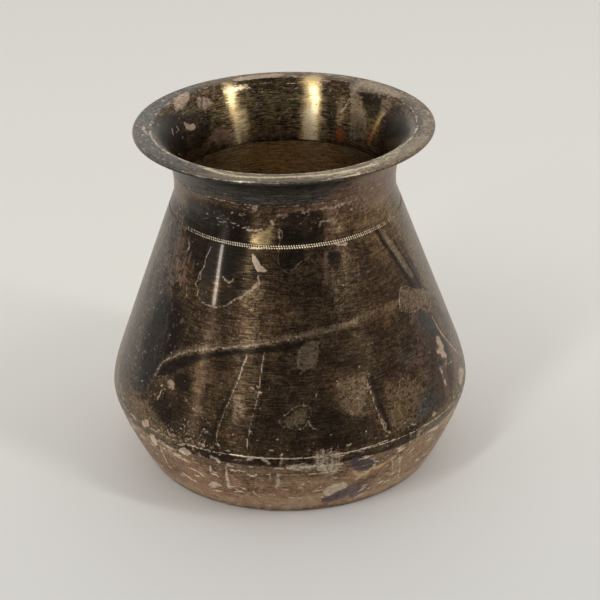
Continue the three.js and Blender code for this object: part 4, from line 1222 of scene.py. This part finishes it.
# Finishes. The casts tint the metal slightly, here redder and there greener.
everyMetal = {
    "castRed": (1.06, 0.97, 0.99, 1),
    "castGreen": (0.95, 1.01, 0.99, 1),
    "brushed": 0.9,
    "coat": 0,
}
finishes = {
    "tarnished_brass": {
        **everyMetal,
        "cleanDark": seen(30, 24, 14),
        "lined": seen(206, 176, 132),
        "tones": [(0.36, seen(38, 31, 24)), (0.47, seen(62, 49, 37)), (0.58, seen(102, 81, 59)),
                  (0.7, seen(142, 115, 86))],
        "clean": seen(54, 43, 26),
        "satinAndSheen": seen(118, 109, 95),
        "copperAndShine": seen(196, 108, 70),
        "hazeAndSheen": seen(152, 130, 103),
        "film": seen(96, 95, 91),
        "filmDark": seen(33, 34, 36),
        "warm": seen(124, 98, 86),
        "scale": seen(186, 160, 138),
        "scaleGrey": seen(164, 146, 124),
        "rubAndShine": seen(210, 197, 170),
        "brass": seen(196, 170, 120),
        "roughness": 0.27,
        "specks": 0.4,
    },
    "worn_brass": {
        **everyMetal,
        "cleanDark": seen(60, 48, 32),
        "lined": seen(226, 204, 170),
        "tones": [(0.36, seen(84, 66, 50)), (0.46, seen(136, 110, 86)), (0.56, seen(170, 142, 112)),
                  (0.68, seen(200, 175, 146))],
        "clean": seen(90, 76, 54),
        "satinAndSheen": seen(160, 148, 130),
        "copperAndShine": seen(190, 110, 74),
        "hazeAndSheen": seen(190, 172, 148),
        "film": seen(118, 105, 110),
        "filmDark": seen(76, 66, 70),
        "warm": seen(176, 128, 106),
        "scale": seen(214, 194, 168),
        "scaleGrey": seen(194, 182, 158),
        "rubAndShine": seen(226, 208, 176),
        "brass": seen(196, 168, 124),
        "roughness": 0.32,
        "specks": 0.55,
    },
    "brazing_metal": {
        **everyMetal,
        "cleanDark": seen(40, 32, 20),
        "lined": seen(210, 182, 140),
        "tones": [(0.36, seen(44, 36, 28)), (0.47, seen(70, 59, 45)), (0.58, seen(110, 91, 68)),
                  (0.7, seen(146, 124, 94))],
        "clean": seen(70, 58, 38),
        "satinAndSheen": seen(124, 116, 100),
        "copperAndShine": seen(190, 100, 66),
        "hazeAndSheen": seen(160, 144, 120),
        "film": seen(96, 98, 98),
        "filmDark": seen(56, 60, 62),
        "warm": seen(140, 104, 84),
        "scale": seen(196, 174, 148),
        "scaleGrey": seen(170, 158, 136),
        "rubAndShine": seen(216, 194, 152),
        "brass": seen(178, 150, 98),
        "roughness": 0.28,
        "specks": 0.5,
    },
}
# The collar's paler and brassier colours also paint the highlights in its mouth and along its rim.
finishes["collar"] = dict(finishes["tarnished_brass"], specks=0.62, rubAndShine=seen(216, 198, 160),
                          brass=seen(212, 184, 130))
# the beads of the milled band: dirt between worn crowns, and no brush marks. The crowns' pale colour is
# partly a painted highlight for their glints
wornCrownAndGlintColour = seen(240, 222, 190)
finishes["milled_band"] = dict(finishes["tarnished_brass"], rubAndShine=wornCrownAndGlintColour, scale=wornCrownAndGlintColour,
                               scaleGrey=wornCrownAndGlintColour, roughness=0.24, brushed=0, coat=0.06)


# Noise drawn out round the pot: scale per millimetre round it, per millimetre of profile, and a shift
turnedNoise = {"fine": (0.4, 3.0, 0), "wide": (0.08, 1.1, 30), "turning": (0.2, 2.6, 60)}
# Noise in all directions: scale per millimetre, detail, roughness and distortion
plainNoise = {
    "blotch": (0.065, 4, 0.6),
    "patch": (0.21, 4, 0.65, 0.5),
    "mottle": (0.6, 4, 0.7),
    "rag": (1.2, 3, 0.65),
    "grain": (2.2, 3, 0.7),
}
# Mixes of those noises, and the values between which some of them rise from 0 to 1
noiseMix = {
    "ragged": {"of": {"mottle": 0.4, "rag": 0.35, "grain": 0.25}},
    "tone": {"of": {"blotch": 0.26, "patch": 0.3, "mottle": 0.28, "rag": 0.2, "grain": 0.27, "fine": 0.28,
                    "wide": 0.14}},
    "cast": {"of": {"patch": 0.6, "rag": 0.4}, "edge": (0.42, 0.58)},
    "comb": {"of": {"turning": 0.5, "fine": 0.5}, "edge": (0.4, 0.56)},
    "sheen": {"of": {"fine": 0.3, "mottle": 0.4}},
    "worn": {"of": {"rag": 0.4, "grain": 0.3, "fine": 0.3}, "edge": (0.4, 0.6)},
    "streak": {"of": {"fine": 0.3, "mottle": 0.3, "grain": 0.4}, "edge": (0.38, 0.62)},
    "vein": {"of": {"patch": 0.3, "mottle": 0.7}},
    "speck": {"of": {"grain": 0.55, "rag": 0.45}, "edge": (0.62, 0.7)},
    "pits": {"of": {"rag": 0.5, "grain": 0.5}, "edge": (0.38, 0.56)},
}
# How noise breaks up each kind of stain, where its edge then begins and ends, and how much it covers
stainLook = {
    "satinAndSheen": {"by": {"ragged": 0.9}, "edge": (0.25, 0.6)},
    "hazeAndSheen": {"by": {"ragged": 2}, "edge": (0.1, 1), "cover": 0.62},
    "warm": {"by": {"ragged": 1, "patch": 0.5, "fine": 0.4}, "edge": (0.2, 0.75), "cover": 0.75},
    "film": {"by": {"ragged": 0.9, "patch": 0.6, "wide": 0.4}, "edge": (0.15, 0.75), "cover": 0.85},
    "brass": {"by": {"fine": 0.9, "ragged": 0.8}, "edge": (0.1, 1)},
    "sootAndShade": {"by": {"ragged": 1.4, "fine": 0.4}, "edge": (0.2, 1), "cover": 0.7},
    "copperAndShine": {"by": {"grain": 2.4}, "edge": (0.4, 0.9)},
    "rubAndShine": {"by": {"fine": 0.7, "rag": 0.9}, "edge": (0.3, 0.75), "cover": 0.85},
    "net": {"by": {"rag": 1.4}, "edge": (0.35, 0.75), "cover": 0.75},
    "scale": {"by": {"ragged": 1.4}, "edge": (0.24, 0.8)},
}
# How the parts of every metal come together
metalMix = {
    "toneShift": 0.375,
    "brownLift": 0.12,
    "sootAndShadeDrop": 0.12,
    "vein": (0.008, 0.028),
    "linedEdge": (0.5, 0.66),
    "scaleTone": (0.4, 0.6),
    "sootAndShade": seen(30, 27, 25),
    "relief": {"fine": 0.35, "scale": 0.6, "grain": 0.12},
    "bump": 0.000012,         # metres
    # what dulls the metal, roughens or polishes it, and the clear gloss of the clean patches
    "dull": {"scale": 0.75, "hazeAndSheen": 0.15, "rubAndShine": 0.35},
    "rough": {"fine": 0.12, "scale": 0.25},
    "polish": {"clean": 0.13, "brass": 0.07},
    "gloss": 0.3,
    "glossRoughness": 0.05,
}


def metalPaint(name, s):
    material = bpy.data.materials.new(name)
    paint = Paint(material)
    spot = paint.node("ShaderNodeTexCoord", {}, {}, 3)
    spot = paint.node("ShaderNodeVectorMath", {"operation": "SCALE"}, {0: spot, "Scale": 1 / mm})
    x = paint.node("ShaderNodeSeparateXYZ", {}, {0: spot}, 0)
    y = paint.node("ShaderNodeSeparateXYZ", {}, {0: spot}, 1)
    lathe = paint.attribute("lathe")
    stain = {kind: paint.attribute(kind) for kind in stainKinds}

    def mixed(mix):
        parts = [noise[key] * share for key, share in noiseMix[mix]["of"].items()]
        return sum(parts[1:], parts[0])

    def edged(mix):
        return paint.rise(mixed(mix), *noiseMix[mix]["edge"])

    noise = {key: paint.noise(spot, *values) for key, values in plainNoise.items()}
    for key, (along, across, shift) in turnedNoise.items():
        noise[key] = paint.noise(paint.vector(x * along, y * along, lathe * across + shift), 1, 2)
    noise["ragged"] = mixed("ragged")

    # an amount of stain, broken up by noise and given its edge
    def broken(kind, amount):
        look = stainLook[kind]
        for key, weight in look["by"].items():
            amount = amount + (noise[key] - 0.5) * weight
        return paint.rise(amount, *look["edge"])

    def laidOver(under, kind, over, share):
        return paint.blend(under, over, share * stainLook[kind]["cover"])

    m = metalMix
    tone = mixed("tone") - m["toneShift"]
    tone = tone + stain["brown"] * m["brownLift"] - stain["sootAndShade"] * m["sootAndShadeDrop"]
    colour = paint.node("ShaderNodeValToRGB", {"stops": s["tones"]}, {0: tone})
    cast = paint.blend(s["castRed"], s["castGreen"], edged("cast"))
    colour = paint.node("ShaderNodeVectorMath", {"operation": "MULTIPLY"}, {0: colour, 1: cast})
    comb = paint.blend(s["cleanDark"], s["clean"], edged("comb"))
    colour = paint.blend(colour, comb, stain["clean"] * (1.2 - noise["mottle"]))
    satinAndSheen = broken("satinAndSheen", stain["satinAndSheen"]) * (mixed("sheen") + 0.5)
    colour = paint.blend(colour, s["satinAndSheen"], satinAndSheen)
    hazeAndSheen = broken("hazeAndSheen", stain["hazeAndSheen"]) * (edged("worn") * 0.55 + noise["mottle"] * 0.5 + 0.1)
    colour = laidOver(colour, "hazeAndSheen", s["hazeAndSheen"], hazeAndSheen)
    colour = laidOver(colour, "warm", s["warm"], broken("warm", stain["warm"] * 0.8))
    film = paint.blend(s["filmDark"], s["film"], edged("streak"))
    colour = laidOver(colour, "film", film, broken("film", stain["film"] * 0.8))
    colour = paint.blend(colour, s["brass"], broken("brass", stain["brass"]))
    lined = paint.rise(noise["turning"], *m["linedEdge"]) * stain["lined"]
    colour = paint.blend(colour, s["lined"], lined * (noise["mottle"] + 0.1))
    colour = laidOver(colour, "sootAndShade", m["sootAndShade"], broken("sootAndShade", stain["sootAndShade"]))
    colour = paint.blend(colour, s["copperAndShine"], broken("copperAndShine", stain["copperAndShine"]))
    rubAndShine = broken("rubAndShine", stain["rubAndShine"])
    colour = laidOver(colour, "rubAndShine", s["rubAndShine"], rubAndShine)
    vein = paint.maths("ABSOLUTE", mixed("vein") - 0.5)
    net = (1 - paint.rise(vein, *m["vein"])) * broken("net", stain["net"]) * stainLook["net"]["cover"]
    speck = edged("speck") * s["specks"]
    scale = broken("scale", stain["scale"] + net + speck)
    scale = scale * (edged("pits") * 0.4 + 0.6)
    scaleColour = paint.blend(s["scaleGrey"], s["scale"], paint.rise(noise["patch"], *m["scaleTone"]))
    colour = paint.blend(colour, scaleColour, scale)
    relief, dull, rough, polish = m["relief"], m["dull"], m["rough"], m["polish"]
    height = noise["fine"] * relief["fine"] + scale * relief["scale"] + noise["grain"] * relief["grain"]
    normal = paint.node("ShaderNodeBump", {}, {"Strength": 1.0, "Distance": m["bump"], "Height": height})
    smooth = stain["clean"] * polish["clean"] + stain["brass"] * polish["brass"]
    shade = paint.node("ShaderNodeBsdfPrincipled", {}, {
        "Base Color": colour,
        "Metallic": 1 - scale * dull["scale"] - hazeAndSheen * dull["hazeAndSheen"] - rubAndShine * dull["rubAndShine"],
        "Roughness": noise["fine"] * rough["fine"] + s["roughness"] + scale * rough["scale"] - smooth,
        "Anisotropic": s["brushed"],
        "Anisotropic Rotation": 0.25,
        "Coat Weight": stain["clean"] * m["gloss"] + s["coat"],
        "Coat Roughness": m["glossRoughness"],
        "Normal": normal,
    })
    paint.node("ShaderNodeOutputMaterial", {}, {"Surface": shade})
    return material


metals = {name: metalPaint(name, s) for name, s in finishes.items()}
for grid, node, slot, metal in [
    (collar, "neck_collar", "tarnished_brass", "collar"),
    (throatSeam, "throat_braze", "brazing_metal", "brazing_metal"),
    (wall, "shoulder_wall", "tarnished_brass", "tarnished_brass"),
    (milled, "shoulder_wall", "tarnished_brass", "milled_band"),
    (bellySeam, "belly_braze", "brazing_metal", "brazing_metal"),
    (bowl, "base_bowl", "worn_brass", "worn_brass"),
]:
    grid["piece"].data.materials.append(metals[metal])
    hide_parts(node)
    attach(grid["piece"], "root")
print("finishes made")

# Table
tableSetting = {
    "halfWidth": 3.0,
    "colour": seen(213, 211, 206),
    # The darker colour nearer the camera is painted shade on the table.
    "near": seen(196, 195, 194),      # nearer to the camera the table is a little darker
    "fade": (-0.1, 0.2),
    "roughness": 0.6,
}


def makeTable(s):
    half = s["halfWidth"]
    corners = [(-half, -half, 0), (half, -half, 0), (half, half, 0), (-half, half, 0)]
    mesh = bpy.data.meshes.new("table")
    mesh.from_pydata(corners, [], [(0, 1, 2, 3)])
    table = bpy.data.objects.new("table", mesh)
    scene.collection.objects.link(table)
    material = bpy.data.materials.new("table_top")
    paint = Paint(material)
    spot = paint.node("ShaderNodeTexCoord", {}, {}, 3)
    # painted shade: the table darkens towards the camera
    near = paint.rise(paint.node("ShaderNodeSeparateXYZ", {}, {0: spot}, 1) * -1, *s["fade"])
    colour = paint.blend(s["colour"], s["near"], near)
    shade = paint.node("ShaderNodeBsdfPrincipled", {}, {"Base Color": colour, "Roughness": s["roughness"]})
    paint.node("ShaderNodeOutputMaterial", {}, {"Surface": shade})
    mesh.materials.append(material)


makeTable(tableSetting)

# Light: a pale studio, dimmer on the camera's side, and soft lamps
lampAim = 0.06                # metres above the table, about the middle of the pot
lampSetting = {
    "left": {"round": -36, "up": 42, "away": 1.4, "size": (0.1, 0.85), "power": 5},
    "right": {"round": 58, "up": 44, "away": 1.4, "size": (0.12, 0.85), "power": 5},
    "strip": {"round": -61.5, "up": 8, "away": 1.3, "size": (0.06, 0.34), "power": 1.2},
}


def makeLamp(name, s):
    data = bpy.data.lights.new(name, "AREA")
    data.shape = "RECTANGLE"
    data.size, data.size_y = s["size"]
    data.energy = s["power"]
    lamp = bpy.data.objects.new(name, data)
    lamp.visible_camera = False
    a, e = radians(s["round"]), radians(s["up"])
    way = Vector((sin(a) * cos(e), -cos(a) * cos(e), sin(e)))
    turn = way.to_track_quat("Z", "Y").to_matrix().to_4x4()
    lamp.matrix_world = Matrix.Translation(way * s["away"] + Vector((0, 0, lampAim))) @ turn
    scene.collection.objects.link(lamp)


for name, s in lampSetting.items():
    makeLamp(name + "_lamp", s)

studioSetting = {
    "pale": seen(219, 217, 213),
    "dim": seen(150, 150, 152),
    "fade": (0.1, 0.8),
    "strength": 1.3,
}


def makeStudio(s):
    world = bpy.data.worlds.new("studio")
    scene.world = world
    paint = Paint(world)
    way = paint.node("ShaderNodeTexCoord", {}, {}, 0)
    front = paint.node("ShaderNodeSeparateXYZ", {}, {0: way}, 1) * -1
    colour = paint.blend(s["pale"], s["dim"], paint.rise(front, *s["fade"]))
    light = paint.node("ShaderNodeBackground", {}, {"Color": colour, "Strength": s["strength"]})
    paint.node("ShaderNodeOutputWorld", {}, {"Surface": light})


makeStudio(studioSetting)
print("studio lit")
